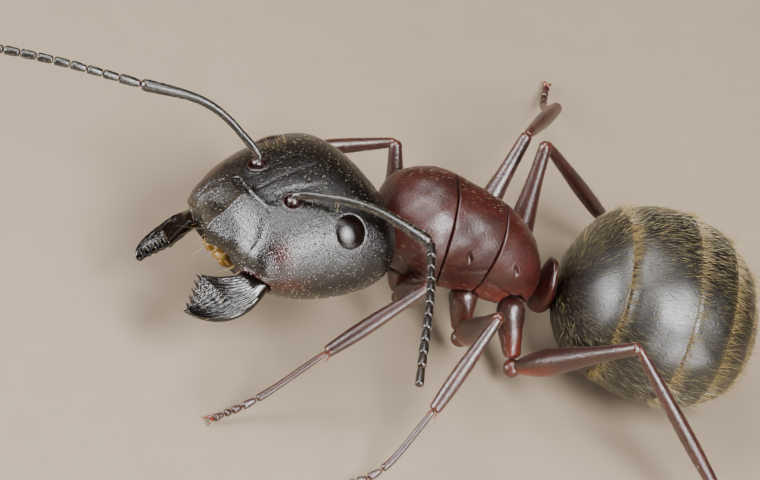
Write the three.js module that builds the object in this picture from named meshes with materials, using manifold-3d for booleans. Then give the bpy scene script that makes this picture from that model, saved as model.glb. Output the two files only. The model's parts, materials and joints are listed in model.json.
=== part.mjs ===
// A large worker carpenter ant, standing on six feet with its mandibles open.
// Millimetres, +Z up, +X the way the body faces, +Y its left side.
// Every joint of the armour is parted by a thin cut, so each part is a solid of its own.

import * as THREE from "three";
import { mergeVertices } from "three/addons/utils/BufferGeometryUtils.js";
import Module from "manifold-3d";

const wasm = await Module();
wasm.setup();

// Driving dimensions.
const headWidth = 4.08;
const headLength = 3.7;
const cut = 0.04; // width of the cuts that part neighbouring pieces
const limbRadius = 0.25; // the thinnest a leg or feeler gets
const coxaRadius = 0.4;
const femurRadius = 0.33;
const tibiaRadius = 0.26;
const limbSides = 8;
const eyeSize = point(0.4, 0.17, 0.38); // half length, half depth and half width
const mandibleThickness = 0.5;
const mandibleBevel = 0.06;
const mandibleCurl = 0.16; // how far the tip bends down
const footPress = 0.04; // how far a round foot is cut off below, which leaves its flat

// Where the head hangs and how it is turned, in degrees.
const headPlace = point(1.58, -1.17, 2.62);
const headTurn = { yaw: 31, noseUp: -0.6, leftUp: 14.4 };
const trunkPlace = point(0, -2.05, 0);
const gasterPlace = point(-6.9, -1.85, 2.02);
const gasterTurn = { yaw: 0, noseUp: 4 };

const black = { color: 0x1b191a, roughness: 0.35, metalness: 0 };
const jaw = { color: 0x1d1412, roughness: 0.25, metalness: 0 };
const maroon = { color: 0x5c2525, roughness: 0.35, metalness: 0 };
const legRed = { color: 0x54261f, roughness: 0.35, metalness: 0 };
const feeler = { color: 0x33221d, roughness: 0.5, metalness: 0 };
const amber = { color: 0x8a5a26, roughness: 0.5, metalness: 0 };

const ant = new THREE.Group();
const head = new THREE.Group();
ant.add(head);

// Small helpers.

const sameSpot = 1e-4; // corners nearer than this are one

function point(x, y, z) {
  return new THREE.Vector3(x, y, z);
}

function radians(degrees) {
  return (degrees * Math.PI) / 180;
}

// The value at a share from 0 to 1 of the way through evenly spaced rows of numbers, on a smooth curve.
function along(rows, share) {
  const place = Math.min(Math.max(share, 0), 1) * (rows.length - 1);
  const row = Math.min(Math.floor(place), rows.length - 2);
  const t = place - row;
  return rows[row].map((from, k) => {
    const to = rows[row + 1][k];
    const leaving = row > 0 ? (to - rows[row - 1][k]) / 2 : to - from;
    const arriving = row < rows.length - 2 ? (rows[row + 2][k] - from) / 2 : to - from;
    const bend = 3 * (to - from) - 2 * leaving - arriving;
    return from + t * (leaving + t * (bend + t * (leaving + arriving - 2 * (to - from))));
  });
}

// A sphere whose points are moved: place gets each one's ring number and its angle round the ring.
function moveSphere(around, rings, place) {
  const geometry = new THREE.SphereGeometry(1, around, rings);
  const spots = geometry.attributes.position;
  for (let i = 0; i < spots.count; i++) {
    const ring = (Math.acos(Math.min(Math.max(spots.getY(i), -1), 1)) / Math.PI) * rings;
    const angle = Math.atan2(spots.getZ(i), spots.getX(i));
    const moved = place(ring, angle);
    spots.setXYZ(i, moved.x, moved.y, moved.z);
  }
  return geometry;
}

// A lobe of the body that runs along X, from front to back. Rows hold half width, top and bottom.
// Squareness is 2 for round sections and more for boxy ones.
function lobe({ front, back, rows, around, rings, squareness }) {
  const power = 2 / squareness;
  return moveSphere(around, rings, (ring, angle) => {
    const share = ring / rings;
    const [halfWidth, top, bottom] = along(rows, share);
    const side = Math.sign(Math.cos(angle)) * Math.abs(Math.cos(angle)) ** power;
    const rise = Math.sign(Math.sin(angle)) * Math.abs(Math.sin(angle)) ** power;
    const x = (front + back) / 2 + ((front - back) / 2) * Math.cos(share * Math.PI);
    return point(x, side * halfWidth, (top + bottom) / 2 + (rise * (top - bottom)) / 2);
  });
}

// A limb with round ends along a curve through the spots. Radii are its radius from start to end.
function limb(spots, radii, { rings = 8, grow = 0 } = {}) {
  const curve = new THREE.CatmullRomCurve3(spots, false, "centripetal");
  const rows = radii.map((radius) => [radius + grow]);
  const capRings = 2;
  return moveSphere(limbSides, rings, (ring, angle) => {
    const fromEnd = Math.min(ring, rings - ring);
    const capAngle = (Math.min(fromEnd / capRings, 1) * Math.PI) / 2;
    const share = Math.min(Math.max((ring - capRings) / (rings - 2 * capRings), 0), 1);
    const [radius] = along(rows, share);
    const heading = curve.getTangentAt(share);
    const side = point(-heading.y, heading.x, 0).normalize();
    const over = new THREE.Vector3().crossVectors(heading, side);
    const past = radius * Math.cos(capAngle) * (ring < capRings ? -1 : 1);
    return curve
      .getPointAt(share)
      .addScaledVector(heading, past)
      .addScaledVector(side, Math.cos(angle) * radius * Math.sin(capAngle))
      .addScaledVector(over, Math.sin(angle) * radius * Math.sin(capAngle));
  });
}

// A ball stretched to a half length, half width and half height.
function ellipsoid(size, centre, around = 14, rings = 8) {
  return new THREE.SphereGeometry(1, around, rings)
    .scale(size.x, size.y, size.z)
    .translate(centre.x, centre.y, centre.z);
}

// A closed geometry as a solid that can be joined and cut.
function solid(geometry) {
  const bare = geometry.clone();
  bare.deleteAttribute("normal");
  bare.deleteAttribute("uv");
  const merged = mergeVertices(bare, sameSpot);
  const corners = new Uint32Array(merged.index.array);
  const points = merged.attributes.position.array;
  const made = solidOf(points, corners);
  return made.volume() > 0 ? made : solidOf(points, corners.reverse());
}

function solidOf(vertProperties, triVerts) {
  return new wasm.Manifold(new wasm.Mesh({ numProp: 3, vertProperties, triVerts }));
}

function geometryOf(made) {
  const { vertProperties, triVerts } = made.getMesh();
  return new THREE.BufferGeometry()
    .setAttribute("position", new THREE.BufferAttribute(vertProperties, 3))
    .setIndex(new THREE.BufferAttribute(triVerts, 1));
}

function addPiece(group, name, made, look) {
  const piece = new THREE.Mesh(geometryOf(made), new THREE.MeshStandardMaterial(look));
  piece.name = name;
  group.add(piece);
}

// Takes each geometry out of a solid.
function without(made, ...geometries) {
  return geometries.reduce((left, geometry) => left.subtract(solid(geometry)), made);
}

// A geometry made in the ant's frame, as a group inside the ant sees it.
function inFrameOf(group, geometry) {
  group.updateMatrix();
  return geometry.applyMatrix4(group.matrix.clone().invert());
}

// All that lies in front of or behind a plane tilted about Y, and half a cut more.
function halfSpace(x, z, tilt, inFront) {
  const size = 20;
  return new THREE.BoxGeometry(size, size, size)
    .translate(((inFront ? 1 : -1) * (size - cut)) / 2, 0, 0)
    .rotateY(radians(tilt))
    .translate(x, 0, z);
}

// The head, in its own frame: +X to the jaws, +Y to its left, +Z to the crown.

head.position.copy(headPlace);
head.rotation.set(radians(headTurn.leftUp), radians(-headTurn.noseUp), radians(headTurn.yaw), "ZYX");

const headHalf = headWidth / 2;
const headRows = [
  [0, 0.05, 0.05],
  [0.61 * headHalf, 0.58, -0.44],
  [0.78 * headHalf, 1.02, -0.83],
  [0.88 * headHalf, 1.29, -1.14],
  [0.96 * headHalf, 1.435, -1.3],
  [headHalf, 1.465, -1.29],
  [0.96 * headHalf, 1.29, -1.12],
  [0.71 * headHalf, 0.875, -0.75],
  [0, 0.12, 0.12],
];
const headShape = {
  front: headLength / 2,
  back: -headLength / 2,
  rows: headRows,
  squareness: 2.3,
};

const eyeAt = point(-0.315, 0.785 * headHalf, 0.874);
const eyeTurn = { lean: 45, yaw: -8 };
const socketAt = point(0.6, 0.34 * headHalf, 1.3); // where a feeler leaves the head
const condyleAt = point(1.4, 0.576 * headHalf, -0.3); // where a mandible hinges
const jawPit = { ahead: 0.12, radius: 0.44 };

function eye(side, grow = 0) {
  return new THREE.SphereGeometry(1, 14, 8)
    .scale(eyeSize.x + grow, eyeSize.y + grow, eyeSize.z + grow)
    .rotateX(radians(side * eyeTurn.lean))
    .rotateZ(radians(side * eyeTurn.yaw))
    .translate(eyeAt.x, side * eyeAt.y, eyeAt.z);
}

// A mandible's outline in its own plane: the first number runs out from its hinge, the second inwards.
const mandibleTip = [1.74, 0.26];
const mandibleHeel = [1.1, 0.8];
const mandibleTurn = { roll: 35, droop: 19, open: 2 };
const teeth = 5;
const toothDepth = 0.12;
const notchShare = 0.45; // how far before a tooth's point its notch lies, as a share of the teeth's spacing

function mix(from, to, share) {
  return from + (to - from) * share;
}

function mandibleOutline() {
  const outline = new THREE.Shape();
  outline.moveTo(0, -0.24);
  outline.bezierCurveTo(0.5, -0.6, 1.35, -0.56, ...mandibleTip);
  for (let tooth = 1; tooth <= teeth; tooth++) {
    const peak = tooth / teeth;
    const gap = (tooth - notchShare) / teeth;
    const notch = [0, 1].map((k) => mix(mandibleTip[k], mandibleHeel[k], gap) - toothDepth);
    outline.lineTo(...notch);
    outline.lineTo(...[0, 1].map((k) => mix(mandibleTip[k], mandibleHeel[k], peak)));
  }
  outline.quadraticCurveTo(0.7, 0.36, 0.25, 0.34);
  outline.lineTo(0, 0.24);
  outline.closePath();
  return outline;
}

function mandible(side) {
  const blade = new THREE.ExtrudeGeometry(mandibleOutline(), {
    depth: mandibleThickness - 2 * mandibleBevel,
    bevelThickness: mandibleBevel,
    bevelSize: mandibleBevel,
    bevelOffset: -mandibleBevel,
    bevelSegments: 1,
    curveSegments: 5,
  }).translate(0, 0, mandibleBevel - mandibleThickness / 2);
  const spots = blade.attributes.position;
  for (let i = 0; i < spots.count; i++) {
    const curl = mandibleCurl * (spots.getX(i) / mandibleTip[0]) ** 2;
    spots.setZ(i, spots.getZ(i) - curl);
  }
  return blade
    .scale(1, -side, 1)
    .rotateX(radians(-side * mandibleTurn.roll))
    .rotateY(radians(mandibleTurn.droop))
    .rotateZ(radians(side * mandibleTurn.open))
    .translate(condyleAt.x, side * condyleAt.y, condyleAt.z);
}

function scape(side, grow = 0) {
  return limb(feelers[side], [limbRadius, limbRadius], { rings: 10, grow });
}

function mouthparts(grow = 0) {
  return ellipsoid(point(0.5 + grow, 0.55 + grow, 0.3 + grow), point(1.5, 0, -0.42), 10, 6);
}

const clypeus = ellipsoid(point(0.62, 0.92, 0.42), point(1.38, 0, 0.3));
const neck = { spots: [point(0, -2, 2.42), point(-1.1, -2.05, 2.7)], radii: [0.36, 0.6] };

// The antennae: each scape's socket, two spots along it and its elbow, then two spots on to the tip.
function socket(side) {
  head.updateMatrix();
  return point(socketAt.x, side * socketAt.y, socketAt.z).applyMatrix4(head.matrix);
}

const feelers = {
  left: [socket(1), point(1.03, -0.5, 4.42), point(0.18, -0.3, 4.54), point(-0.99, 0.11, 4.42)],
  right: [socket(-1), point(3.48, -2.32, 4.12), point(4.11, -2.52, 4.23), point(5.39, -2.63, 4.16)],
};
const feelerTips = {
  left: [point(-0.93, 1.6, 4.5), point(-0.72, 4.05, 4.4)],
  right: [point(7.3, -2.75, 4.1), point(9.4, -3.3, 3.4)],
};

const headSolid = solid(lobe({ ...headShape, around: 24, rings: 16 })).add(solid(clypeus));
const pockets = [mouthparts(cut), inFrameOf(head, limb(neck.spots, neck.radii, { grow: cut }))];
for (const [name, side] of [["left", 1], ["right", -1]]) {
  pockets.push(eye(side, cut));
  const pitAt = point(condyleAt.x + jawPit.ahead, side * condyleAt.y, condyleAt.z);
  pockets.push(ellipsoid(point(jawPit.radius, jawPit.radius, jawPit.radius), pitAt, 10, 6));
  pockets.push(inFrameOf(head, scape(name, cut)));
}

// The trunk: three plates, parted where the real ones meet.

const trunk = new THREE.Group();
trunk.position.copy(trunkPlace);
ant.add(trunk);

const trunkShape = {
  front: -0.32,
  back: -4.35,
  rows: [
    [0, 2.7, 2.7],
    [0.72, 3.3, 2.12],
    [1.1, 3.68, 1.72],
    [1.2, 3.85, 1.5],
    [1.0, 3.76, 1.3],
    [0.84, 3.5, 1.15],
    [0.74, 3.02, 1.12],
    [0.5, 2.4, 1.25],
    [0, 1.8, 1.8],
  ],
  squareness: 2.2,
};
const waist = { x: -1.86, z: 2.7, tilt: 8 };
const groove = { x: -2.95, z: 2.5, tilt: -6 };

// The legs. Each row is a leg's joints: hip, trochanter, knee, ankle, the basitarsus's end and the toe.
const toeHeight = limbRadius - footPress;
const legs = {
  leg_front_left: [
    point(-1.12, -1.5, 2.1), point(-1.45, -1.12, 1.25), point(-1.36, 0.2, 3.2),
    point(0.32, 1.18, 1.55), point(1.5, 1.93, 0.5), point(2.3, 2.41, toeHeight),
  ],
  leg_middle_left: [
    point(-2.75, -1.6, 1.65), point(-3.0, -0.9, 0.68), point(-2.98, 0.5, 3.1),
    point(-2.08, 2.09, 1.55), point(-1.28, 3.1, 0.55), point(-0.47, 3.5, toeHeight),
  ],
  leg_hind_left: [
    point(-3.8, -1.6, 1.6), point(-4.2, -0.45, 0.62), point(-6.05, 0.6, 3.3),
    point(-8.46, 2.32, 1.47), point(-9.3, 3.6, 0.5), point(-9.9, 4.4, toeHeight),
  ],
  leg_front_right: [
    point(-1.12, -2.6, 2.1), point(-1.35, -2.95, 1.1), point(-0.78, -4.1, 2.75),
    point(0.95, -4.55, 1.35), point(1.75, -4.3, 0.5), point(2.25, -3.8, toeHeight),
  ],
  leg_middle_right: [
    point(-2.75, -2.5, 1.65), point(-2.9, -3.1, 0.75), point(-3.75, -5.1, 2.9),
    point(-4.9, -7.25, 1.75), point(-5.1, -8.5, 0.5), point(-5.3, -9.4, toeHeight),
  ],
  leg_hind_right: [
    point(-3.8, -2.5, 1.6), point(-4.05, -3.05, 0.8), point(-3.95, -4.4, 3.5),
    point(-6.3, -4.8, 1.1), point(-7.9, -5.3, 0.45), point(-9.0, -5.7, toeHeight),
  ],
};

const floorSize = { width: 40, depth: 2 };
const floor = new THREE.BoxGeometry(floorSize.width, floorSize.width, floorSize.depth)
  .translate(0, 0, -floorSize.depth / 2);

function coxa([hip, trochanter], grow = 0) {
  return limb([hip, trochanter], [coxaRadius, coxaRadius, femurRadius], { rings: 7, grow });
}

function femur([, trochanter, knee], grow = 0) {
  return limb([trochanter, knee], [limbRadius, femurRadius, femurRadius, limbRadius], { rings: 7, grow });
}

function tibia([, , knee, ankle], grow = 0) {
  return limb([knee, ankle], [limbRadius, tibiaRadius, tibiaRadius, limbRadius], { rings: 7, grow });
}

function tarsus([, , , ankle, arch, toe]) {
  return limb([ankle, arch, toe], [limbRadius, limbRadius], { rings: 8 });
}

function addLeg(name, joints) {
  addPiece(ant, `${name}_coxa`, solid(coxa(joints)), maroon);
  addPiece(ant, `${name}_femur`, without(solid(femur(joints)), coxa(joints, cut)), legRed);
  addPiece(ant, `${name}_tibia`, without(solid(tibia(joints)), femur(joints, cut)), legRed);
  addPiece(ant, `${name}_tarsus`, without(solid(tarsus(joints)), tibia(joints, cut), floor), legRed);
}

// The petiole: an upright scale on a short stalk between the trunk and the gaster.

const petiole = new THREE.Group();
petiole.position.set(-4.6, -2.0, 1.55);
petiole.updateMatrix();
ant.add(petiole);

const stalkRadius = 0.28;

function stalk(grow = 0) {
  return limb([point(0.3, 0, 0), point(-0.3, 0, -0.02)], [stalkRadius, stalkRadius], { rings: 6, grow });
}

const petioleScale = ellipsoid(point(0.26, 0.5, 0.8), point(0, 0, 0.12));
addPiece(petiole, "petiole", solid(petioleScale).add(solid(stalk())), legRed);

const hipCuts = Object.values(legs).map((joints) => inFrameOf(trunk, coxa(joints, cut)));
const neckSolid = solid(inFrameOf(trunk, limb(neck.spots, neck.radii)));
const trunkSolid = without(solid(lobe({ ...trunkShape, around: 20, rings: 14 })).add(neckSolid), ...hipCuts);
addPiece(trunk, "pronotum", without(trunkSolid, halfSpace(waist.x, waist.z, waist.tilt, false)), maroon);
addPiece(
  trunk,
  "mesothorax",
  without(
    trunkSolid,
    halfSpace(waist.x, waist.z, waist.tilt, true),
    halfSpace(groove.x, groove.z, groove.tilt, false),
  ),
  maroon,
);
const petiolePocket = inFrameOf(trunk, stalk(cut).applyMatrix4(petiole.matrix));
addPiece(
  trunk,
  "propodeum",
  without(trunkSolid, halfSpace(groove.x, groove.z, groove.tilt, true), petiolePocket),
  maroon,
);

Object.entries(legs).forEach(([name, joints]) => addLeg(name, joints));

addPiece(head, "head", without(headSolid, ...pockets), black);
for (const [name, side] of [["left", 1], ["right", -1]]) {
  addPiece(head, `eye_${name}`, solid(eye(side)), black);
  addPiece(head, `mandible_${name}`, solid(mandible(side)), jaw);
}
addPiece(head, "mouthparts", solid(mouthparts()), amber);

for (const side of ["left", "right"]) {
  const elbow = feelers[side][feelers[side].length - 1];
  const funiculus = limb([elbow, ...feelerTips[side]], [limbRadius, limbRadius], { rings: 9 });
  addPiece(ant, `scape_${side}`, solid(scape(side)), feeler);
  addPiece(ant, `funiculus_${side}`, without(solid(funiculus), scape(side, cut)), feeler);
}

// The gaster in its rings.

const gaster = new THREE.Group();
gaster.position.copy(gasterPlace);
gaster.rotation.set(0, radians(-gasterTurn.noseUp), radians(gasterTurn.yaw), "ZYX");
ant.add(gaster);

const gasterShape = {
  front: 2.1,
  back: -2.35,
  rows: [
    [0, -0.3, -0.3],
    [0.92, 0.68, -1.02],
    [1.63, 1.45, -1.52],
    [2.04, 1.84, -1.76],
    [2.15, 1.94, -1.84],
    [2.02, 1.78, -1.76],
    [1.6, 1.33, -1.46],
    [0.88, 0.67, -0.9],
    [0, -0.15, -0.15],
  ],
  squareness: 2.05,
};
const gasterSolid = solid(lobe({ ...gasterShape, around: 20, rings: 16 }));
const ringEnds = [1.16, -0.3, -1.22, -1.85];
for (let ring = 0; ring <= ringEnds.length; ring++) {
  const cuts = ring > 0 ? [] : [inFrameOf(gaster, stalk(cut).applyMatrix4(petiole.matrix))];
  if (ring > 0) cuts.push(halfSpace(ringEnds[ring - 1], 0, 0, true));
  if (ring < ringEnds.length) cuts.push(halfSpace(ringEnds[ring], 0, 0, false));
  addPiece(gaster, `gaster_ring_${ring + 1}`, without(gasterSolid, ...cuts), black);
}

// The origin is under the middle of the ant, on the floor.
const reach = new THREE.Box3().setFromObject(ant);
ant.position.set(-(reach.min.x + reach.max.x) / 2, -(reach.min.y + reach.max.y) / 2, -reach.min.z);

export default ant;
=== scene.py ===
# A large worker carpenter ant, life size, standing on its six feet with its jaws open.
# Shapes are worked out in millimetres, +X the way the trunk faces, +Y its left side, +Z up.
import json
import math
from functools import partial

import bpy
import numpy as np
from mathutils import Matrix, Vector


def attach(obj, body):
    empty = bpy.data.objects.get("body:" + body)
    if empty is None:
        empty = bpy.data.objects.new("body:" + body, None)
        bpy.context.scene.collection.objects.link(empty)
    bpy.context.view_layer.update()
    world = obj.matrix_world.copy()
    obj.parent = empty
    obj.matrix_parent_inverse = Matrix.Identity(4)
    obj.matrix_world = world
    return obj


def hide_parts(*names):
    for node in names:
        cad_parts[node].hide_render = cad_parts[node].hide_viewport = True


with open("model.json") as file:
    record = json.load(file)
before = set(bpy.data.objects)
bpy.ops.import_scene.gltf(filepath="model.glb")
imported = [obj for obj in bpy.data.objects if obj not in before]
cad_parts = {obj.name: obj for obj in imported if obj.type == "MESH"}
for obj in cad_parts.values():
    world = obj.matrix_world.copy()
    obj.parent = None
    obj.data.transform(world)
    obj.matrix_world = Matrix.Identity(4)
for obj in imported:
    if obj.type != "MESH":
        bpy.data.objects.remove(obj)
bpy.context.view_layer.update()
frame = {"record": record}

# hips, trochanters, knees, ankles, the basitarsus's end and the toes
legs = {
    "front_left": [(-1.12, -1.5, 2.1), (-1.45, -1.12, 1.25), (-1.36, 0.2, 3.2),
                   (0.32, 1.18, 1.55), (1.5, 1.93, 0.5), (2.3, 2.41, 0.1)],
    "middle_left": [(-2.75, -1.6, 1.65), (-3.0, -0.9, 0.68), (-2.98, 0.5, 3.1),
                    (-2.08, 2.09, 1.55), (-1.28, 3.1, 0.55), (-0.47, 3.5, 0.1)],
    "hind_left": [(-3.8, -1.6, 1.6), (-4.2, -0.45, 0.62), (-6.05, 0.6, 3.3),
                  (-8.46, 2.32, 1.47), (-9.3, 3.6, 0.5), (-9.9, 4.4, 0.1)],
    "front_right": [(-1.12, -2.6, 2.1), (-1.35, -2.95, 1.1), (-0.78, -4.1, 2.75),
                    (0.95, -4.55, 1.35), (1.75, -4.3, 0.5), (2.25, -3.8, 0.1)],
    "middle_right": [(-2.75, -2.5, 1.65), (-2.9, -3.1, 0.75), (-3.75, -5.1, 2.9),
                     (-4.9, -7.25, 1.75), (-5.1, -8.5, 0.5), (-5.3, -9.4, 0.1)],
    "hind_right": [(-3.8, -2.5, 1.6), (-4.05, -3.05, 0.8), (-3.95, -4.4, 3.5),
                   (-6.3, -4.8, 1.1), (-7.9, -5.3, 0.45), (-9.0, -5.7, 0.1)],
}

# The frame's zero lies under the middle of the box, and a foot says how far that is from the ant's own.
footSpot = next(m["pos_m"] for m in frame["record"]["mounts"] if m["name"] == "foot_front_left")
toeSpot = legs["front_left"][-1]
shift = np.array([footSpot[0] * 1000 - toeSpot[0], footSpot[1] * 1000 - toeSpot[1], 0])


def toFrame(points):
    return (np.asarray(points) + shift) / 1000


# Camera and lights: a long lens above the ant's front left, rolled so that the trunk lies level.
view = {
    "right": (-0.9411, -0.0042, 0.338),
    "up": (0.2264, -0.7503, 0.6208),
    "back": (0.2512, 0.6607, 0.7071),
    "look": (0, 0, 4.034),
    "distance": 140,
    "lens": 318.3,
    "sensor": 36,
    "metresSeen": (0.01, 2),
}
viewAxes = np.array([view["right"], view["up"], view["back"]])
# Softboxes: where each stands, as right, up and back of the ant seen from the camera, its sides in mm and
# its brightness. They face the spot named lit.
lit = (0, -1, 2)
softboxes = {
    "left": {"toward": (-0.8, 0.3, 0.45), "distance": 66, "sides": (28, 46), "brightness": 30},
    "right": {"toward": (0.55, 0.08, 0.83), "distance": 64, "sides": (22, 36), "brightness": 40},
    "top": {"toward": (0.0, 0.83, 0.55), "distance": 66, "sides": (42, 28), "brightness": 11},
    "low": {"toward": (0.5, -0.62, 0.62), "distance": 66, "sides": (30, 14), "brightness": 30},
}
room = {"colour": "#dcb993", "brightness": 0.09}


def link(name, data):
    thing = bpy.data.objects.new(name, data)
    bpy.context.scene.collection.objects.link(thing)
    return thing


def addCamera():
    camera = link("camera", bpy.data.cameras.new("camera"))
    camera.data.sensor_width = view["sensor"]
    camera.data.lens = view["lens"]
    camera.data.clip_start, camera.data.clip_end = view["metresSeen"]
    place = Matrix(viewAxes.T.tolist()).to_4x4()
    place.translation = Vector(toFrame(np.array(view["look"]) + viewAxes[2] * view["distance"]))
    camera.matrix_world = place
    bpy.context.scene.camera = camera


def addSoftbox(name, box):
    lamp = bpy.data.lights.new(name, "AREA")
    lamp.shape = "RECTANGLE"
    lamp.size, lamp.size_y = (side / 1000 for side in box["sides"])
    lamp.energy = box["brightness"] * math.pi * lamp.size * lamp.size_y
    toward = Vector(np.array(box["toward"]) @ viewAxes).normalized()
    holder = link(name, lamp)
    holder.location = Vector(toFrame(lit)) + toward * box["distance"] / 1000
    holder.rotation_euler = toward.to_track_quat("Z", "Y").to_euler()


def hexColour(code):
    parts = [int(code[at:at + 2], 16) / 255 for at in (1, 3, 5)]
    return (*[p / 12.92 if p <= 0.04045 else ((p + 0.055) / 1.055) ** 2.4 for p in parts], 1)


def fill(node, inputs):
    # links or sets a node's inputs, by number where two of them share a name
    for key, value in inputs.items():
        if isinstance(value, bpy.types.NodeSocket):
            node.id_data.links.new(value, node.inputs[key])
        else:
            node.inputs[key].default_value = value


def addNode(tree, kind, inputs=None, **settings):
    # adds a node and gives back its outputs
    node = tree.nodes.new(kind)
    for key, value in settings.items():
        setattr(node, key, value)
    fill(node, inputs or {})
    return node.outputs


def addWorld():
    world = bpy.data.worlds.new("studio")
    world.use_nodes = True
    background = world.node_tree.nodes["Background"]
    fill(background, {"Color": hexColour(room["colour"]), "Strength": room["brightness"]})
    bpy.context.scene.world = world


addCamera()
for softboxName, softbox in softboxes.items():
    addSoftbox(softboxName, softbox)
addWorld()
print("camera and lights are up")


# Smooth curves and surfaces.

def along(rows, share):
    # the value at a share of the way through evenly spaced rows of numbers
    rows = np.asarray(rows, float)
    rows = rows[:, None] if rows.ndim == 1 else rows
    place = np.clip(share, 0, 1) * (len(rows) - 1)
    row = np.minimum(place.astype(int), len(rows) - 2)
    t = (place - row)[..., None]
    here, there = rows[row], rows[row + 1]
    before, after = rows[np.maximum(row - 1, 0)], rows[np.minimum(row + 2, len(rows) - 1)]
    leaving = np.where((row > 0)[..., None], (there - before) / 2, there - here)
    arriving = np.where((row < len(rows) - 2)[..., None], (after - here) / 2, there - here)
    bend = 3 * (there - here) - 2 * leaving - arriving
    return here + t * (leaving + t * (bend + t * (leaving + arriving - 2 * (there - here))))


def allRound(count):
    return np.linspace(0, 2 * math.pi, count, endpoint=False)


def signedPower(value, power):
    return np.sign(value) * np.abs(value) ** power


def lobe(shape, share, angle):
    # a body lobe along X from front to back, whose rows hold half width, top and bottom
    half, top, bottom = np.moveaxis(along(shape["rows"], share), -1, 0)
    side = signedPower(np.cos(angle), 2 / shape["squareness"])
    rise = signedPower(np.sin(angle), 2 / shape["squareness"])
    x = (shape["front"] + shape["back"]) / 2 + (shape["front"] - shape["back"]) / 2 * np.cos(share * math.pi)
    return np.stack([x, side * half, (top + bottom) / 2 + rise * (top - bottom) / 2], -1)


def shareAt(shape, x):
    # how far back along a lobe a place on X is
    middle, half = (shape["front"] + shape["back"]) / 2, (shape["front"] - shape["back"]) / 2
    return np.arccos(np.clip((x - middle) / half, -1, 1)) / math.pi


def outward(rings):
    down = np.gradient(rings, axis=0)
    across = np.roll(rings, -1, 1) - np.roll(rings, 1, 1)
    normal = np.cross(across, down)
    normal /= np.linalg.norm(normal, axis=-1, keepdims=True) + 1e-12
    outside = np.sum((rings - rings.mean(1, keepdims=True)) * normal)
    return normal if outside > 0 else -normal


def raised(rings, height):
    return rings + outward(rings) * height[..., None]


def smoothStep(value, low, high):
    t = np.clip((value - low) / (high - low), 0, 1)
    return t * t * (3 - 2 * t)


def ridge(gap, height, width):
    # a rounded ridge, or a groove if its height is less than 0, at a distance from its middle
    return height * np.exp(-(gap / width) ** 2)


def mound(points, height, centre, radius):
    # a rounded mound or dent, whose radius may differ along X, Y and Z
    return height * np.exp(-np.sum(((points - np.array(centre)) / np.array(radius)) ** 2, -1))


def lineGap(points, path):
    # each point's distance from a line of spots
    path = np.asarray(path, float)
    points = points[..., :path.shape[1]]
    nearest = np.full(points.shape[:-1], 1e9)
    for a, b in zip(path[:-1], path[1:]):
        t = np.clip((points - a) @ (b - a) / max((b - a) @ (b - a), 1e-12), 0, 1)
        nearest = np.minimum(nearest, np.linalg.norm(points - a - t[..., None] * (b - a), axis=-1))
    return nearest


def ripples(points, height, size, seed, waves=14):
    # soft uneven lumps of about one height and size
    random = np.random.default_rng(seed)
    total = np.zeros(points.shape[:-1])
    for _ in range(waves):
        heading = random.normal(size=3)
        heading *= 2 * math.pi / size * random.uniform(0.6, 1.5) / np.linalg.norm(heading)
        total += np.sin(points @ heading + random.uniform(0, 2 * math.pi))
    return height * total / math.sqrt(waves)


def carved(rings, centre, radii):
    # pushes what lies inside an ellipsoid in along the surface's own normals, to the hollow's far wall
    radii = np.asarray(radii, float)
    normal = outward(rings) / radii
    place = (rings - np.array(centre)) / radii
    a, b, c = np.sum(normal ** 2, -1), np.sum(place * normal, -1), np.sum(place ** 2, -1) - 1
    depth = np.where(c < 0, (b + np.sqrt(np.maximum(b * b - a * c, 0))) / a, 0)
    return rings - normal * radii * depth[..., None]


def turned(yaw, noseUp, leftUp):
    # the turn of a part whose front is yawed to the left, its nose and its left side lifted, in degrees
    turn = Matrix.Rotation(math.radians(yaw), 3, "Z") @ Matrix.Rotation(math.radians(-noseUp), 3, "Y")
    return np.array(turn @ Matrix.Rotation(math.radians(leftUp), 3, "X"))


def sided(spot, side):
    # a spot of the left side, or with side -1 its mirror image on the right
    return np.asarray(spot, float) * (1, side, 1)


def unit(vector):
    return np.asarray(vector, float) / np.linalg.norm(vector)


def curveThrough(spots, shares):
    # points and headings at shares of the length of a smooth curve through the spots
    spots = np.asarray(spots, float)
    ends = [2 * spots[0] - spots[1], *spots, 2 * spots[-1] - spots[-2]]
    pieces = []
    for four in zip(ends[:-3], ends[1:-2], ends[2:-1], ends[3:]):
        # the stretch between the middle two of four spots, mixed in three rounds
        gaps = np.linalg.norm(np.diff(four, axis=0), axis=1)
        knots = np.concatenate([[0], np.cumsum(gaps ** 0.5)])
        t = np.linspace(knots[1], knots[2], 60)[:, None]
        mixed = four
        for starts, stops in ((knots[:3], knots[1:]), (knots[:2], knots[2:]), (knots[1:2], knots[2:3])):
            mixed = [(stop - t) / (stop - start) * a + (t - start) / (stop - start) * b
                     for start, stop, a, b in zip(starts, stops, mixed, mixed[1:])]
        pieces.append(mixed[0])
    line = np.vstack([piece[:-1] for piece in pieces] + [pieces[-1][-1:]])
    gone = np.concatenate([[0], np.cumsum(np.linalg.norm(np.diff(line, axis=0), axis=1))])
    headings = np.gradient(line, gone, axis=0)
    at = np.asarray(shares) * gone[-1]
    place, heading = (np.stack([np.interp(at, gone, values[:, k]) for k in range(3)], -1)
                      for values in (line, headings))
    return place, heading / np.linalg.norm(heading, axis=1, keepdims=True), gone[-1]


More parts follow.
